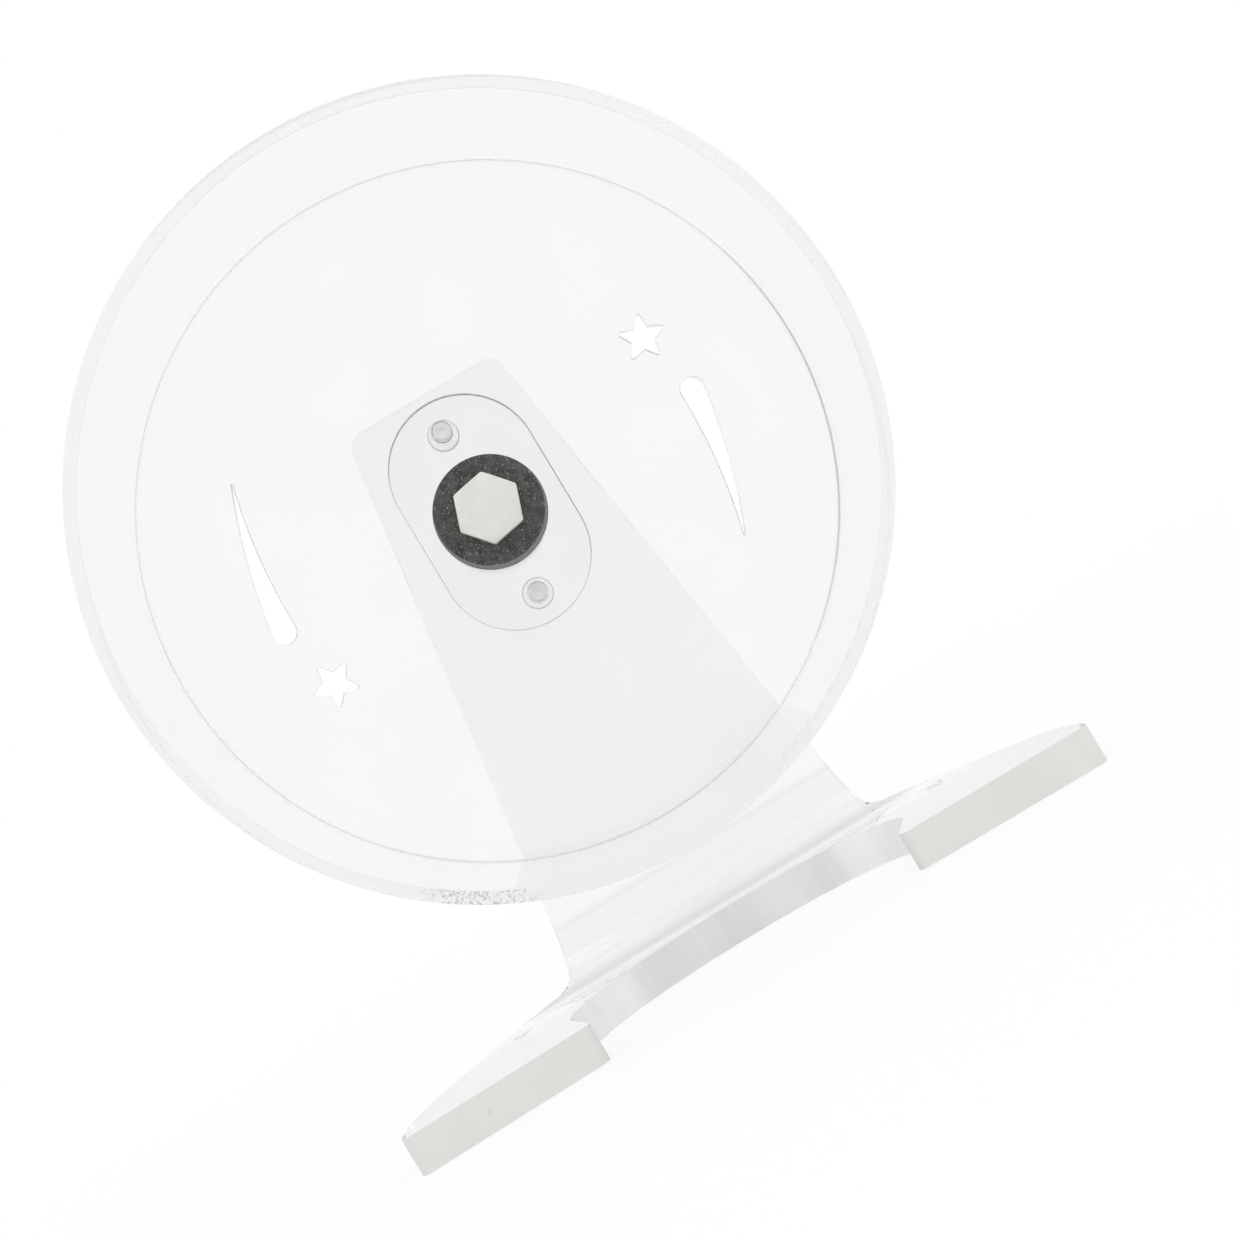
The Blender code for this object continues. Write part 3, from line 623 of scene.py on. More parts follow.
def scraped_edge(name, base, fleck_and_painted_shade=None):
    """A broken or laser-burnt corner: dull, a little uneven in tone."""
    finish = Finish(name, base, roughness=0.3, transmission=0.25)
    wear = finish.noise(scale=380.0)
    finish.paint(finish.varied(wear, start=0.93, end=1.05), fleck_and_painted_shade)
    finish.roughen(wear, smooth=0.24, rough=0.40)
    return finish.surface


def glossy_edge(name, base, clearness, unevenness=0.1, fleck_and_painted_shade=None):
    """Laser-cut acrylic: glossy, darker than the face, with fine steps."""
    finish = Finish(name, base, roughness=0.18, transmission=clearness)
    steps = finish.noise(scale=700.0, stretch=(1.0, 0.05, 1.0))
    finish.paint(finish.varied(steps, start=1 - unevenness, end=1 + unevenness), fleck_and_painted_shade)
    finish.roughen(steps, smooth=unevenness, rough=3 * unevenness)
    return finish.surface


def upper_right_painted_shade(finish):
    """Painted shade on the retainer's edges, on their upper right."""
    return finish.darkened(finish.ranged(finish.facing(math.radians(25)), -0.1, 0.9), darkest=0.70)


def rim_painted_shade(radius):
    """Painted shade on the disc's rim, and not in the cut-outs."""
    def build(finish):
        return finish.darkened(finish.ranged(finish.off_axle(), 0.9 * radius, 0.95 * radius), darkest=0.91)
    return build


def turned_end(name, base, place, half_span):
    """The tube's end as the lathe left it: nearly clear, with fine ticks and one patch of chatter."""
    finish = Finish(name, base, roughness=0.06, transmission=0.3)
    patch = finish.ranged(finish.facing(place), math.cos(half_span), math.cos(half_span * 0.5))
    ticks = finish.noise(scale=1900.0, roughness=0.7)
    chatter = finish.maths("MULTIPLY", patch, finish.ranged(ticks, 0.50, 0.60))
    marks = finish.maths("MAXIMUM", chatter, finish.ranged(ticks, 0.70, 0.78, 0.0, 0.3))
    finish.paint(finish.mixed(marks, base, scaled(base, 0.6)))
    finish.roughen(marks, smooth=0.05, rough=0.4, low=0.0, high=1.0)
    return finish.surface


def moulded_nylon(name, base, transmission=0.0):
    """Milky moulded plastic with a soft skin and faint flow marks."""
    finish = Finish(name, base, roughness=0.42, transmission=transmission, ior=1.53)
    flow = finish.noise(scale=260.0, stretch=(1.0, 0.4, 1.0))
    finish.paint(finish.varied(flow, start=0.965, end=1.02))
    finish.roughen(flow, smooth=0.36, rough=0.5)
    finish.emboss(finish.noise(scale=1400.0, detail=2.0), strength=0.12, distance=0.05 * MILLIMETRE)
    return finish.surface


def mottled_steel(name, base, worn, outer):
    """Steel with a dull, blotched skin, a few brighter rubs and a painted highlight round its rim."""
    finish = Finish(name, base, roughness=0.4, metallic=1.0)
    blotches = finish.noise(scale=700.0, detail=5.0, roughness=0.75)
    flecks = finish.noise(scale=2300.0, detail=2.0, roughness=0.6)
    skin = finish.varied(blotches, start=0.62, end=worn, low=0.38, high=0.62)
    # painted highlight: a lighter band round the rounded rim
    rim = finish.ranged(finish.off_axle(), outer - 0.5 * MILLIMETRE, outer - 0.2 * MILLIMETRE, 0.0, 0.45)
    bare_flecks_and_highlight = finish.maths("MAXIMUM", finish.ranged(flecks, 0.60, 0.70), rim)
    finish.paint(finish.mixed(bare_flecks_and_highlight, skin, scaled(base, 4.5)))
    finish.roughen(blotches, smooth=0.30, rough=0.55)
    finish.emboss(flecks, strength=0.25, distance=0.05 * MILLIMETRE)
    return finish.surface


def ground_steel(name, base):
    """Ground bearing steel with fine turning lines."""
    finish = Finish(name, base, roughness=0.2, metallic=1.0)
    lines = finish.noise(scale=1500.0, detail=2.0, stretch=(0.15, 1.0, 0.15))
    finish.paint(finish.varied(lines, start=0.93, end=1.05))
    finish.roughen(lines, smooth=0.14, rough=0.26)
    return finish.surface


def clouded_glue(name, base, painted_shade_side):
    """The cement line between drum and disc, with a painted shade that greys it towards one side."""
    finish = Finish(name, base, roughness=0.25, transmission=1.0)
    beads = finish.noise(scale=160.0)
    # painted shade greys the side towards the given angle
    side_shade = finish.darkened(finish.ranged(finish.facing(painted_shade_side), 0.78, 0.97), darkest=0.73)
    finish.paint(finish.multiplied(finish.varied(beads, start=0.95, end=1.02), side_shade))
    finish.roughen(beads, smooth=0.2, rough=0.4)
    return finish.surface


# The stand


BEND_PAINTED_SHADE_SHARES = (          # place up the bend's inner face, and how dark the painted shade is there
    (0.0, 0.0), (0.006, 0.28), (0.018, 0.62), (0.033, 0.84), (0.054, 0.94), (0.069, 0.82), (0.090, 0.70),
    (0.112, 0.50), (0.141, 0.355), (0.163, 0.205), (0.192, 0.15), (0.220, 0.18), (0.250, 0.24), (0.286, 0.075),
    (0.320, 0.04), (0.400, 0.06), (0.440, 0.15), (0.475, 0.20), (0.520, 0.22), (0.820, 0.22), (0.844, 0.40),
    (0.902, 0.40), (0.920, 0.17), (1.0, 0.0),
)
BAY_PAINTED_SHADE_SHARES = (            # place across the bay from left to right, and how dark the painted shade on the wall is there
    (0.0, 0.16), (0.04, 0.02), (0.13, 0.04), (0.17, 0.26), (0.20, 0.72), (0.25, 0.94), (0.35, 0.90), (0.42, 0.97),
    (0.50, 1.0), (0.56, 1.0), (0.61, 0.72), (0.66, 0.64), (0.70, 0.88), (0.76, 0.90), (0.80, 0.72), (0.84, 0.14),
    (0.89, 0.02), (0.95, 0.16), (1.0, 0.20),
)


class BentPlate:
    """Where a point of the flat blank lies once the plate is bent. Along is from the wing tips."""

    def __init__(self, sizes):
        low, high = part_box("stand")
        self.face = HUB.y
        self.thickness = high.y - self.face
        self.inner = sizes.bend_radius
        self.reach = self.face - low.y
        self.length = (self.inner + self.thickness / 2) * math.pi / 2
        self.start = self.reach - self.inner
        self.end = self.start + self.length
        self.height = self.thickness + self.inner
        self.half_span = high.x
        self.top = self.end + high.z - self.height
        self.hub = self.end + HUB.z - self.height

    def placed(self, point):
        """The bent place of a point (x, depth, along)."""
        x, depth, along = point
        if along <= self.start:
            return Vector((x, self.face + along - self.reach, self.thickness - depth))
        if along >= self.end:
            return Vector((x, self.face + depth, self.height + along - self.end))
        turn = (along - self.start) / self.length * math.pi / 2
        radius = self.inner + depth
        return Vector((x, self.face + radius * math.sin(turn) - self.inner, self.height - radius * math.cos(turn)))


def stand_outline(sizes, plate, bay_steps=96):
    """The flat blank's outline, right side, bay and mirrored left side."""
    right = [
        ((sizes.top_width / 2, plate.top), sizes.top_rounding),
        ((sizes.waist_width / 2, plate.start + sizes.waist_rise), sizes.waist_radius),
        ((sizes.hip_width / 2, plate.start + sizes.hip_rise), sizes.hip_radius),
        ((plate.half_span, sizes.shoulder_reach), sizes.shoulder_radius),
        ((plate.half_span, 0.0), sizes.tip_radius),
        ((sizes.mouth_width / 2, sizes.mouth_reach), sizes.mouth_radius),
        ((sizes.notch_width / 2, sizes.notch_reach), sizes.notch_radius),
    ]
    bay = []
    for i in range(1, bay_steps):
        x, depth = polar(1.0, math.pi * i / bay_steps)
        bay.append(((sizes.notch_width / 2 * x, sizes.notch_reach + sizes.bay_depth * depth), 0))
    left = [((-point[0], point[1]), radius) for point, radius in right]
    return rounded(right + bay + left[::-1], steps=12)


def screw_holes(sizes, middle=0.0):
    """The holes for the two retainer screws."""
    half = sizes.screw_pitch / 2
    return [circle(sizes.screw_hole / 2, steps=48, centre=(0, middle + side * half)) for side in (-1, 1)]


def bend_painted_shade(plate):
    """Painted shade: 1 where the inner face of the bend is darkest, and small on the wings and off the bend."""
    def build(finish):
        foot, top = plate.thickness + 0.1 * MILLIMETRE, plate.height + 1.5 * MILLIMETRE
        up = finish.ranged(finish.wavering("Z", 0.08 * MILLIMETRE), foot, top)
        inner_face = finish.ranged(finish.along("Y"), plate.face + 0.05 * MILLIMETRE,
                                   plate.face + 0.15 * MILLIMETRE, 1.0, 0.0)
        below_bend = finish.ranged(finish.along("Z"), foot - 0.09 * MILLIMETRE, foot, 0.25, 0.0)
        in_front = finish.ranged(finish.along("Y"), 2 * MILLIMETRE, 9 * MILLIMETRE, 1.0, 0.0)
        painted_bend_shade = finish.maths("MULTIPLY", finish.ramped(up, BEND_PAINTED_SHADE_SHARES), inner_face)
        return finish.maths("MAXIMUM", painted_bend_shade, finish.maths("MULTIPLY", below_bend, in_front))
    return build


def bay_painted_shade(half_width):
    """Painted shade: the dark and light stretches across the bay's wall."""
    def build(finish):
        across = finish.ranged(finish.wavering("X", 0.3 * MILLIMETRE), -half_width, half_width)
        return finish.darkened(finish.ramped(across, BAY_PAINTED_SHADE_SHARES), darkest=0.80)
    return build


def dark_fleck(centre, radius):
    """A darkening with one small round fleck, which fades out at its edge."""
    def build(finish):
        away = finish.vector("DISTANCE", finish.place(), centre)
        return finish.darkened(finish.ranged(away, radius / 2, radius, 1.0, 0.0), darkest=0.92)
    return build


def pucker(bm, sizes, plate):
    """Draw the cut walls in unevenly round the waist's corners, where the heat of bending softened them."""
    bm.normal_update()
    moves = []
    for corner in bm.verts:
        middle = Vector((math.copysign(sizes.waist_width / 2, corner.co.x),
                         plate.start + sizes.waist_rise + sizes.pucker_rise))
        away = (Vector((corner.co.x, corner.co.z)) - middle).length
        nearness_share = 1 - away / sizes.pucker_reach
        if nearness_share > 0 and abs(corner.normal.y) < 0.5:
            fold = 0.5 + relief.noise(corner.co / sizes.pucker_width)
            moves.append((corner, corner.normal * (-sizes.pucker_depth * nearness_share * max(0.0, fold))))
    for corner, move in moves:
        corner.co += Vector((move.x, 0.0, move.z))


class HAMSTERWHEEL_OT_stand(Operator):
    """Build the heat-bent stand plate with its sawn edges"""

    bl_idname = "hamster_wheel.stand"
    bl_label = "Stand plate"

    def execute(self, context):
        sizes, colours = context.scene.wheel_stand, context.scene.wheel_finish
        plate = BentPlate(sizes)
        bearing_radius = node_radius("bearing_outer_ring") + sizes.bearing_gap
        bearing_hole = circle(bearing_radius, steps=128, centre=(0, plate.hub))
        bm = plate_mesh(stand_outline(sizes, plate), [bearing_hole, *screw_holes(sizes, plate.hub)],
                        plate.thickness, 0.0, sizes.edge_break, wall_rows=9)
        strips = 36
        for i in range(strips + 1):
            along = plate.start + plate.length * i / strips
            bmesh.ops.bisect_plane(bm, geom=bm.verts[:] + bm.edges[:] + bm.faces[:], dist=1e-7,
                                   plane_co=(0, 0, along), plane_no=(0, 0, 1))
        bm.normal_update()
        for face in bm.faces:
            along = face.calc_center_median().z
            forward = face.normal.z < 0.1 and abs(face.normal.y) < 0.9 and along < plate.end
            if forward and face.material_index in (EDGE_SLOT, BREAK_SLOT):
                face.material_index = BAY_SLOT if along > sizes.notch_reach else FROST_SLOT
        pucker(bm, sizes, plate)
        for corner in bm.verts:
            corner.co = plate.placed(corner.co)
        fleck = Vector((sizes.fleck_side, plate.face - plate.reach + sizes.fleck_reach, sizes.fleck_height))
        surfaces = [clear_acrylic("stand acrylic", colours.stand_acrylic, bend_painted_shade(plate)),
                    glossy_edge("stand cut edge", colours.thick_cut, clearness=1.0, unevenness=0.015),
                    glossy_edge("stand broken edge", colours.thick_cut, clearness=1.0, unevenness=0.03),
                    frosted_edge("stand front edge", colours.frosted, band_strength=0.006,
                                 fleck_and_painted_shade=dark_fleck(fleck, sizes.fleck_radius)),
                    # the bay edge: a lighter copy of the frosted edge for painted light, with painted shade across it
                    frosted_edge("stand bay edge", colours.bay, band_strength=0.03,
                                 fleck_and_painted_shade=bay_painted_shade(sizes.notch_width / 2))]
        finish_piece("stand_plate", bm, "stand", surfaces, ["stand"], (0, 0, 0))
        return {"FINISHED"}


class HAMSTERWHEEL_OT_retainer(Operator):
    """Build the bearing retainer with its laser-cut edge"""

    bl_idname = "hamster_wheel.retainer"
    bl_label = "Bearing retainer"

    def execute(self, context):
        sizes, colours = context.scene.wheel_stand, context.scene.wheel_finish
        low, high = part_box("bearing_retainer")
        radius = (high.x - low.x) / 2
        straight = (high.z - low.z) / 2 - radius
        steps = 64
        outline = []
        for side in (1, -1):
            for i in range(steps + 1):
                x, z = polar(radius, math.pi * i / steps)
                outline.append((side * x, side * (straight + z)))
        holes = [circle(sizes.retainer_bore / 2, steps=96), *screw_holes(sizes)]
        bm = plate_mesh(outline, holes, high.y - low.y, low.y, sizes.retainer_break)
        surfaces = [clear_acrylic("retainer acrylic", colours.retainer_acrylic),
                    # painted shade darkens both of the retainer's edges on the upper right
                    glossy_edge("retainer cut edge", colours.retainer_cut, clearness=0.8, fleck_and_painted_shade=upper_right_painted_shade),
                    scraped_edge("retainer broken edge", colours.retainer_burn, upper_right_painted_shade)]
        finish_piece("retainer_plate", bm, "stand", surfaces, ["bearing_retainer"])
        return {"FINISHED"}


# The wheel


def star_outline(sizes):
    """The first star, in its place on the disc."""
    points = 5
    corners = []
    for i in range(2 * points):
        inner = i % 2
        turn = sizes.star_turn + math.pi / 2 + i * math.pi / points
        corners.append((polar(sizes.star_waist if inner else sizes.star_radius, turn),
                        0 if inner else sizes.star_rounding))
    middle = polar(sizes.star_distance, sizes.star_place)
    return [(x + middle[0], z + middle[1]) for x, z in rounded(corners, steps=5)]


def tail_outline(sizes):
    """The first comet tail: round head, sides that draw in evenly to a thin tip."""
    steps, cap_steps = 40, 16
    head = Vector(polar(1.0, sizes.tail_head_place)) * sizes.tail_head_distance
    tip = Vector(polar(1.0, sizes.tail_tip_place)) * sizes.tail_tip_distance
    line = [head, *(Vector(p) for p in bowed(head, tip, sizes.tail_bow, steps)), tip]
    left_side, right_side = [], []
    for i, point in enumerate(line):
        along = (line[min(i + 1, steps)] - line[max(i - 1, 0)]).normalized()
        side = Vector((-along.y, along.x))
        half_width = sizes.tail_head_radius * (1 - i / steps) + sizes.tail_end_width / 2 * i / steps
        left_side.append(point + side * half_width)
        right_side.append(point - side * half_width)
    cap = []
    for step in range(1, cap_steps):
        swung = left_side[0] - head
        swung.rotate(Matrix.Rotation(math.pi * step / cap_steps, 2))
        cap.append(head + swung)
    return [tuple(point) for point in cap + right_side + left_side[::-1]]


class HAMSTERWHEEL_OT_drum(Operator):
    """Build the running drum from clear tube with turned ends"""

    bl_idname = "hamster_wheel.drum"
    bl_label = "Running drum"

    def execute(self, context):
        sizes, colours = context.scene.wheel_drum, context.scene.wheel_finish
        low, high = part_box("wheel_drum")
        outer = node_radius("wheel_drum")
        bm = turned_mesh(soft_ring(outer - sizes.wall, outer, low.y, high.y, sizes.edge_break), WHEEL_STEPS)
        for face in bm.faces:
            face.material_index = EDGE_SLOT if face.normal.y < -0.3 else FACE_SLOT
        surfaces = [clear_acrylic("drum acrylic", colours.drum_acrylic),
                    turned_end("drum turned end", colours.tube_end, sizes.tick_place, sizes.tick_span)]
        finish_piece("drum_tube", bm, "wheel", surfaces, ["wheel_drum"])
        return {"FINISHED"}


class HAMSTERWHEEL_OT_disc(Operator):
    """Build the back disc with its stars and comet tails"""

    bl_idname = "hamster_wheel.disc"
    bl_label = "Back disc"

    def execute(self, context):
        sizes, colours = context.scene.wheel_drum, context.scene.wheel_finish
        low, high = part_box("wheel_back_disc")
        radius = node_radius("wheel_back_disc")
        holes = [circle(sizes.axle_hole / 2, steps=64)]
        for turn in (0, math.pi):
            holes += [turned_about(outline, turn) for outline in (star_outline(sizes), tail_outline(sizes))]
        bm = plate_mesh(circle(radius, WHEEL_STEPS), holes, high.y - low.y, low.y, sizes.edge_break / 2)
        surfaces = [clear_acrylic("disc acrylic", colours.disc_acrylic),
                    # painted shade darkens the edges at the disc's rim
                    glossy_edge("disc cut edge", colours.disc_cut, clearness=0.15, fleck_and_painted_shade=rim_painted_shade(radius)),
                    scraped_edge("disc broken edge", colours.disc_burn, rim_painted_shade(radius))]
        finish_piece("back_disc", bm, "wheel", surfaces, ["wheel_back_disc"])
        return {"FINISHED"}


class HAMSTERWHEEL_OT_glue(Operator):
    """Build the fillet of glue in the corner of drum and disc"""

    bl_idname = "hamster_wheel.glue"
    bl_label = "Glue fillet"

    def execute(self, context):
        sizes, colours = context.scene.wheel_drum, context.scene.wheel_finish
        inner = node_radius("wheel_drum") - sizes.wall
        wall_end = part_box("wheel_drum")[1].y
        disc_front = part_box("wheel_back_disc")[0].y
        reach, skin = sizes.glue_fillet, sizes.glue_skin
        steps = 8
        rows = [(inner + reach, wall_end + skin), (inner - skin, wall_end + skin), (inner - skin, disc_front - reach)]
        for i in range(1, steps):
            out, back = polar(1.0, math.pi / 2 * i / steps)
            rows.append((inner - reach * (1 - out), disc_front - reach * (1 - back)))
        rows += [(inner - reach, disc_front - skin), (inner + reach, disc_front - skin)]
        finish_piece("glue_fillet", turned_mesh(rows, WHEEL_STEPS), "wheel",
                     [clouded_glue("glue", colours.glue, sizes.glue_painted_shade_place)], [])
        return {"FINISHED"}


# The hub


HEX_CHAMFER = math.radians(30)
SCREW_TIP_SHARES = (    # out from the middle, and back from the tip
    (0.05, 0.125), (0.25, 0.0625), (0.75, 0.0), (0.92, 0.02), (0.96, 0.08),
)


def hexagon_rows(sizes, near, far, both_chamfered):
    """Rows of a hexagon's sides, with the corners of its near face, or of both, chamfered."""
    flat = sizes.across_flats / 2 * sizes.hex_face

    def hexagon(turn):
        return sizes.across_flats / 2 / math.cos((turn - sizes.hex_turn) % (math.pi / 3) - math.pi / 6)

    def drop(turn):
        return max(0.0, hexagon(turn) - flat) * math.tan(HEX_CHAMFER)

    rows = [(flat, near), (hexagon, lambda turn: near + drop(turn))]
    if both_chamfered:
        return rows + [(hexagon, lambda turn: far - drop(turn)), (flat, far)]
    return rows + [(hexagon, far)]


class HAMSTERWHEEL_OT_bolt(Operator):
    """Build the axle bolt with its chamfered hexagon head and threaded end"""

    bl_idname = "hamster_wheel.bolt"
    bl_label = "Axle bolt"

    def execute(self, context):
        sizes, colours = context.scene.wheel_hub, context.scene.wheel_finish
        low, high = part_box("axle_bolt")
        head_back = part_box("front_washer")[0].y - sizes.head_gap
        thread_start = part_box("bearing_inner_ring")[0].y
        radius, depth = sizes.axle_diameter / 2, sizes.thread_depth
        centre, lead_in = 0.3 * MILLIMETRE, 0.1 * MILLIMETRE
        rows = [(centre, low.y), (sizes.across_flats / 4 * sizes.hex_face, low.y)]
        rows += hexagon_rows(sizes, low.y, head_back, False)
        rows += [(radius, head_back), (radius, thread_start)]
        rows += thread_rows(radius, depth, sizes.thread_pitch, thread_start + lead_in, high.y - 4 * lead_in,
                            rows_per_turn=8)
        rows += [(radius - depth, high.y - 3 * lead_in), (radius - 2 * depth, high.y)]
        finish_piece("hex_bolt", turned_mesh(rows, sizes.steps, ring=False), "wheel",
                     [moulded_nylon("bolt nylon", colours.nylon)], ["axle_bolt"])
        return {"FINISHED"}


class HAMSTERWHEEL_OT_nut(Operator):
    """Build the axle nut with both faces chamfered"""

    bl_idname = "hamster_wheel.nut"
    bl_label = "Axle nut"

    def execute(self, context):
        sizes, colours = context.scene.wheel_hub, context.scene.wheel_finish
        low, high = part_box("axle_nut")
        bore, mouth = sizes.axle_diameter / 2 + 0.1 * MILLIMETRE, sizes.nut_mouth
        rows = [(bore + mouth, low.y), *hexagon_rows(sizes, low.y, high.y, True),
                (bore + mouth, high.y), (bore, high.y - mouth), (bore, low.y + mouth)]
        finish_piece("hex_nut", turned_mesh(rows, sizes.steps), "wheel",
                     [moulded_nylon("nut nylon", colours.nylon)], ["axle_nut"])
        return {"FINISHED"}


class HAMSTERWHEEL_OT_washers(Operator):
    """Build the large dark washer, the small rear washer and the bush"""

    bl_idname = "hamster_wheel.washers"
    bl_label = "Washers and bush"

    def execute(self, context):
        sizes, colours = context.scene.wheel_hub, context.scene.wheel_finish
        large = mottled_steel("washer steel", colours.dark_steel, worn=1.3, outer=node_radius("front_washer"))
        small = mottled_steel("small washer steel", scaled(colours.bright_steel, 0.8), worn=1.1,
                              outer=node_radius("rear_washer"))
        bush = moulded_nylon("bush nylon", colours.nylon)
        for node, name, slot, surface, bore, sag in (
                ("front_washer", "large_washer", "washer_steel", large, sizes.large_bore, sizes.washer_drop),
                ("rear_washer", "small_washer", "rear_washer_steel", small, sizes.washer_bore, 0),
                ("spacer_bush", "bush", "spacer_plastic", bush, sizes.washer_bore, 0)):
            low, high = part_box(node)
            rows = soft_ring(bore / 2, node_radius(node), low.y, high.y, sizes.washer_rounding)
            finish_piece(name, turned_mesh(rows, sizes.steps), "wheel", [surface], [node],
                         (HUB.x, 0, HUB.z - sag))
        return {"FINISHED"}


def cut_away(item, bm):
    """Cut a guide mesh out of an object and keep the result."""
    guide = new_object("guide", bm)
    cut = item.modifiers.new("cut", "BOOLEAN")
    cut.operation, cut.solver, cut.object = "DIFFERENCE", "EXACT", guide
    bpy.context.view_layer.update()
    made = bpy.data.meshes.new_from_object(item.evaluated_get(bpy.context.evaluated_depsgraph_get()))
    item.modifiers.remove(cut)
    item.data = made
    bpy.data.objects.remove(guide)
    made.set_sharp_from_angle(angle=SMOOTH_ANGLE)


class HAMSTERWHEEL_OT_screws(Operator):
    """Build the two slotted retainer screws with their threads"""

    bl_idname = "hamster_wheel.screws"
    bl_label = "Retainer screws"

    def execute(self, context):
        sizes, colours = context.scene.wheel_hub, context.scene.wheel_finish
        surfaces = [clear_acrylic("screw plastic", colours.screw),
                    moulded_nylon("screw tip", colours.screw_tip, transmission=0.4),
                    # the head's rim takes a painted shade for its outline
                    scraped_edge("screw rim", colours.screw_rim_painted_shade)]
        rounding, chamfer, lead_in = sizes.screw_head_rounding, sizes.screw_head_chamfer, 0.1 * MILLIMETRE
        for node, name in (("retainer_screw_upper", "upper_screw"), ("retainer_screw_lower", "lower_screw")):
            low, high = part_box(node)
            radius, head = sizes.screw_diameter / 2, node_radius(node)
            head_front = high.y - sizes.screw_head_height
            rows = [(out * radius, low.y + back * radius) for out, back in SCREW_TIP_SHARES]
            rows += thread_rows(radius, sizes.screw_thread_depth, sizes.screw_thread_pitch, low.y + 4 * lead_in,
                                head_front - lead_in, rows_per_turn=7)
            rows += [(radius - lead_in, head_front), (head - chamfer, head_front), (head, head_front + chamfer)]
            rows += [(head - inset * rounding, high.y - along * rounding) for inset, along in BREAK_SHARES[::-1]]
            rows += [(2 * lead_in, high.y)]
            bm = turned_mesh(rows, steps=48, ring=False)
            for face in bm.faces:
                centre = face.calc_center_median()
                if centre.y < low.y + 3 * lead_in:
                    face.material_index = EDGE_SLOT
                elif Vector((centre.x, centre.z)).length > head - 2 * lead_in and face.normal.y < 0.1:
                    face.material_index = BREAK_SLOT
            middle = (low + high) / 2
            item = finish_piece(name, bm, "stand", surfaces, [node], (middle.x, 0, middle.z),
                                weighted=False)
            slot = bmesh.new()
            bmesh.ops.create_cube(slot, size=1.0)
            bmesh.ops.scale(slot, verts=slot.verts[:],
                            vec=(2 * head + MILLIMETRE, 2 * sizes.slot_depth, sizes.slot_width))
            bmesh.ops.translate(slot, verts=slot.verts[:], vec=(middle.x, high.y, middle.z))
            cut_away(item, slot)
        return {"FINISHED"}


class HAMSTERWHEEL_OT_bearing(Operator):
    """Build the bearing's rings and shields, and finish its balls and cage"""

    bl_idname = "hamster_wheel.bearing"
    bl_label = "Ball bearing"

    def execute(self, context):
        sizes, colours = context.scene.wheel_hub, context.scene.wheel_finish
        steel = ground_steel("ring steel", colours.bright_steel)
        pressed = ground_steel("shield steel", scaled(colours.bright_steel, 0.85))
        low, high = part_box("bearing_outer_ring")
        seat = node_radius("bearing_shield_front") + sizes.shield_gap
        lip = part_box("bearing_shield_front")[1].y - low.y + sizes.shield_gap
        land, race = seat - sizes.race_land, sizes.race_depth
        middle, half_race = (low.y + high.y) / 2, 2.4 * race
        rows = soft_ring(seat, node_radius("bearing_outer_ring"), low.y, high.y, sizes.ring_rounding)
        rows += [(seat, high.y - lip), (land, high.y - lip), (land, middle + half_race)]
        race_steps = 12
        for i in range(1, race_steps):
            along, out = polar(1.0, math.pi * i / race_steps)
            rows.append((land + race * out, middle + half_race * along))
        rows += [(land, middle - half_race), (land, low.y + lip), (seat, low.y + lip)]
        finish_piece("outer_ring", turned_mesh(rows, sizes.steps), "stand", [steel],
                     ["bearing_outer_ring"])
        low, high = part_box("bearing_inner_ring")
        inner = node_radius("bearing_inner_ring")
        rows = soft_ring(sizes.bearing_bore / 2, inner, low.y, high.y, sizes.ring_rounding)
        finish_piece("inner_ring", turned_mesh(rows, sizes.steps), "wheel", [steel],
                     ["bearing_inner_ring"])
        bore, roll = inner + sizes.shield_bore_gap, sizes.shield_roll
        for side in ("front", "rear"):
            low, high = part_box("bearing_shield_" + side)
            rim = node_radius("bearing_shield_" + side)
            step = rim - sizes.shield_rim
            out, back = (low.y, high.y) if side == "front" else (high.y, low.y)
            way = math.copysign(roll, back - out)
            rows = [(rim, out), (step + roll, out), (step - roll, out + way), (bore, out + way),
                    (bore, back), (step - roll, back), (step + roll, back - way), (rim, back - way)]
            finish_piece(side + "_shield", turned_mesh(rows, sizes.steps), "stand",
                         [pressed], ["bearing_shield_" + side])
        balls = ground_steel("ball steel", colours.bright_steel)
        cage = moulded_nylon("cage nylon", scaled(colours.nylon, 0.9))
        for node, item in frame["nodes"].items():
            if node.startswith("bearing_ball") or node == "bearing_cage":
                item.data.materials.clear()
                item.data.materials.append(cage if node == "bearing_cage" else balls)
        return {"FINISHED"}


# The stage


LAMPS = (               # name, place, side, and the setting that holds its power
    ("key lamp", (-0.55, -0.75, 0.95), 0.8, "key_power"),
    ("fill lamp", (0.80, -0.60, 0.60), 0.7, "fill_power"),
)
FLOOR_HALF_WIDTH = 6.0
LIGHT_BOUNCES = 32      # light is guided far inside the acrylic


def make_world(studio):
    """Even pale light, and plain white where the camera looks past the object."""
    world = bpy.data.worlds.new("pale studio")
    bpy.context.scene.world = world
    nodes = Nodes(world)
    nodes.tree.nodes.clear()
    light, plain = (nodes.node("Background", {"Color": WHITE, "Strength": strength}).outputs["Background"]
                    for strength in (studio.world_light, 1.0))
    nodes.node("OutputWorld", {"Surface": nodes.either(nodes.plainly_seen(), light, plain)})


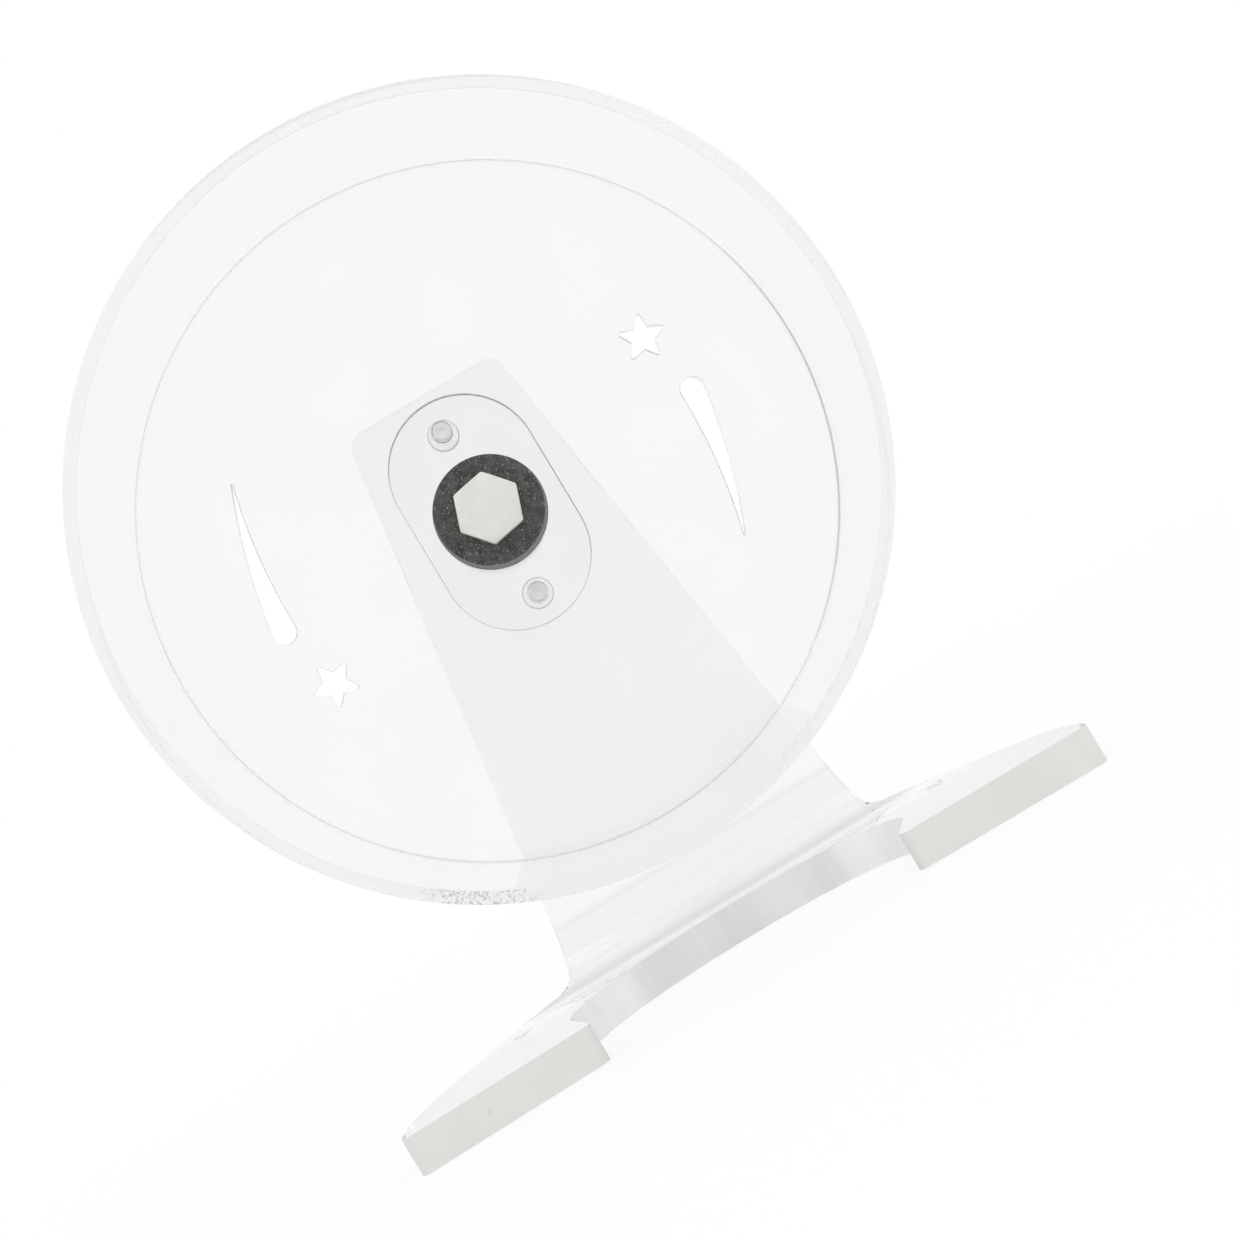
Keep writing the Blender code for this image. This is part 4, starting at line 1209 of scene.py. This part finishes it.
def make_floor(studio):
    """A pale floor that keeps the object's shadow."""
    bm = bmesh.new()
    bmesh.ops.create_grid(bm, x_segments=4, y_segments=4, size=FLOOR_HALF_WIDTH)
    floor = new_object("floor", bm)
    floor.location.z = -studio.floor_drop
    paper = Finish("floor paper", (0.93, 0.93, 0.93), roughness=0.9)
    paper.paint(paper.mixed(paper.noise(scale=30.0), (0.925, 0.925, 0.925), (0.935, 0.935, 0.935)))
    glow = paper.node("Emission", {"Strength": 1.0}).outputs["Emission"]
    fade = paper.ranged(paper.vector("LENGTH", paper.place()), studio.floor_fade_start, studio.floor_fade_end,
                        studio.floor_glow, 1.0)
    amount = paper.maths("MULTIPLY", paper.plainly_seen(), fade)
    paper.show(paper.either(amount, paper.shader.outputs["BSDF"], glow))
    floor.data.materials.append(paper.surface)


def make_lamp(name, place, size, power):
    """A soft square lamp that faces the hub."""
    lamp = bpy.data.lights.new(name, "AREA")
    lamp.shape, lamp.size, lamp.energy = "SQUARE", size, power
    item = bpy.data.objects.new(name, lamp)
    item.location = place
    item.rotation_euler = (HUB - Vector(place)).to_track_quat("-Z", "Y").to_euler()
    bpy.context.scene.collection.objects.link(item)


def make_camera(studio):
    """The photograph's viewpoint: low in front, looking level, leaning to the right."""
    data = bpy.data.cameras.new("camera")
    data.lens, data.sensor_width = studio.lens, 36.0
    data.clip_start, data.clip_end = 0.01, 50.0
    data.shift_x, data.shift_y = studio.shift_side, studio.shift_up
    camera = bpy.data.objects.new("camera", data)
    bpy.context.scene.collection.objects.link(camera)
    level = Matrix.Rotation(-studio.camera_yaw, 4, "Z") @ Matrix.Rotation(math.pi / 2, 4, "X")
    place = Matrix.Translation((HUB.x + studio.camera_side, HUB.y - studio.camera_distance, studio.camera_height))
    camera.matrix_world = place @ level @ Matrix.Rotation(-studio.camera_roll, 4, "Z")
    bpy.context.scene.camera = camera


class HAMSTERWHEEL_OT_stage(Operator):
    """Set up the floor, the world, the lamps and the camera"""

    bl_idname = "hamster_wheel.stage"
    bl_label = "Studio"

    def execute(self, context):
        scene, studio = context.scene, context.scene.wheel_studio
        make_world(studio)
        make_floor(studio)
        for name, place, side, power in LAMPS:
            make_lamp(name, place, side, getattr(studio, power))
        make_camera(studio)
        scene.view_settings.view_transform = "Standard"
        for kind in ("max_bounces", "transmission_bounces", "glossy_bounces"):
            setattr(scene.cycles, kind, LIGHT_BOUNCES)
        return {"FINISHED"}


BUILD_ORDER = (
    HAMSTERWHEEL_OT_stand,
    HAMSTERWHEEL_OT_retainer,
    HAMSTERWHEEL_OT_screws,
    HAMSTERWHEEL_OT_bearing,
    HAMSTERWHEEL_OT_drum,
    HAMSTERWHEEL_OT_disc,
    HAMSTERWHEEL_OT_glue,
    HAMSTERWHEEL_OT_washers,
    HAMSTERWHEEL_OT_bolt,
    HAMSTERWHEEL_OT_nut,
    HAMSTERWHEEL_OT_stage,
)


class HAMSTERWHEEL_PT_pieces(Panel):
    """The buttons that build each group of pieces"""

    bl_idname = "HAMSTERWHEEL_PT_pieces"
    bl_label = "Hamster Wheel"
    bl_space_type = "VIEW_3D"
    bl_region_type = "UI"
    bl_category = "Hamster Wheel"

    def draw(self, context):
        for operator in BUILD_ORDER:
            self.layout.operator(operator.bl_idname)


SETTINGS = {
    "wheel_stand": HAMSTERWHEEL_PG_stand,
    "wheel_drum": HAMSTERWHEEL_PG_wheel,
    "wheel_hub": HAMSTERWHEEL_PG_hub,
    "wheel_finish": HAMSTERWHEEL_PG_finish,
    "wheel_studio": HAMSTERWHEEL_PG_studio,
}


def register():
    """Register the settings, the operators and the panel."""
    for name, group in SETTINGS.items():
        bpy.utils.register_class(group)
        setattr(bpy.types.Scene, name, PointerProperty(type=group))
    for item in (*BUILD_ORDER, HAMSTERWHEEL_PT_pieces):
        bpy.utils.register_class(item)


def unregister():
    """Remove what register added."""
    for item in (HAMSTERWHEEL_PT_pieces, *BUILD_ORDER[::-1]):
        bpy.utils.unregister_class(item)
    for name, group in SETTINGS.items():
        delattr(bpy.types.Scene, name)
        bpy.utils.unregister_class(group)


def main():
    """Register the settings, and build every piece and the stage."""
    register()
    for operator in BUILD_ORDER:
        family, name = operator.bl_idname.split(".")
        getattr(getattr(bpy.ops, family), name)()


if __name__ == "__main__":
    main()
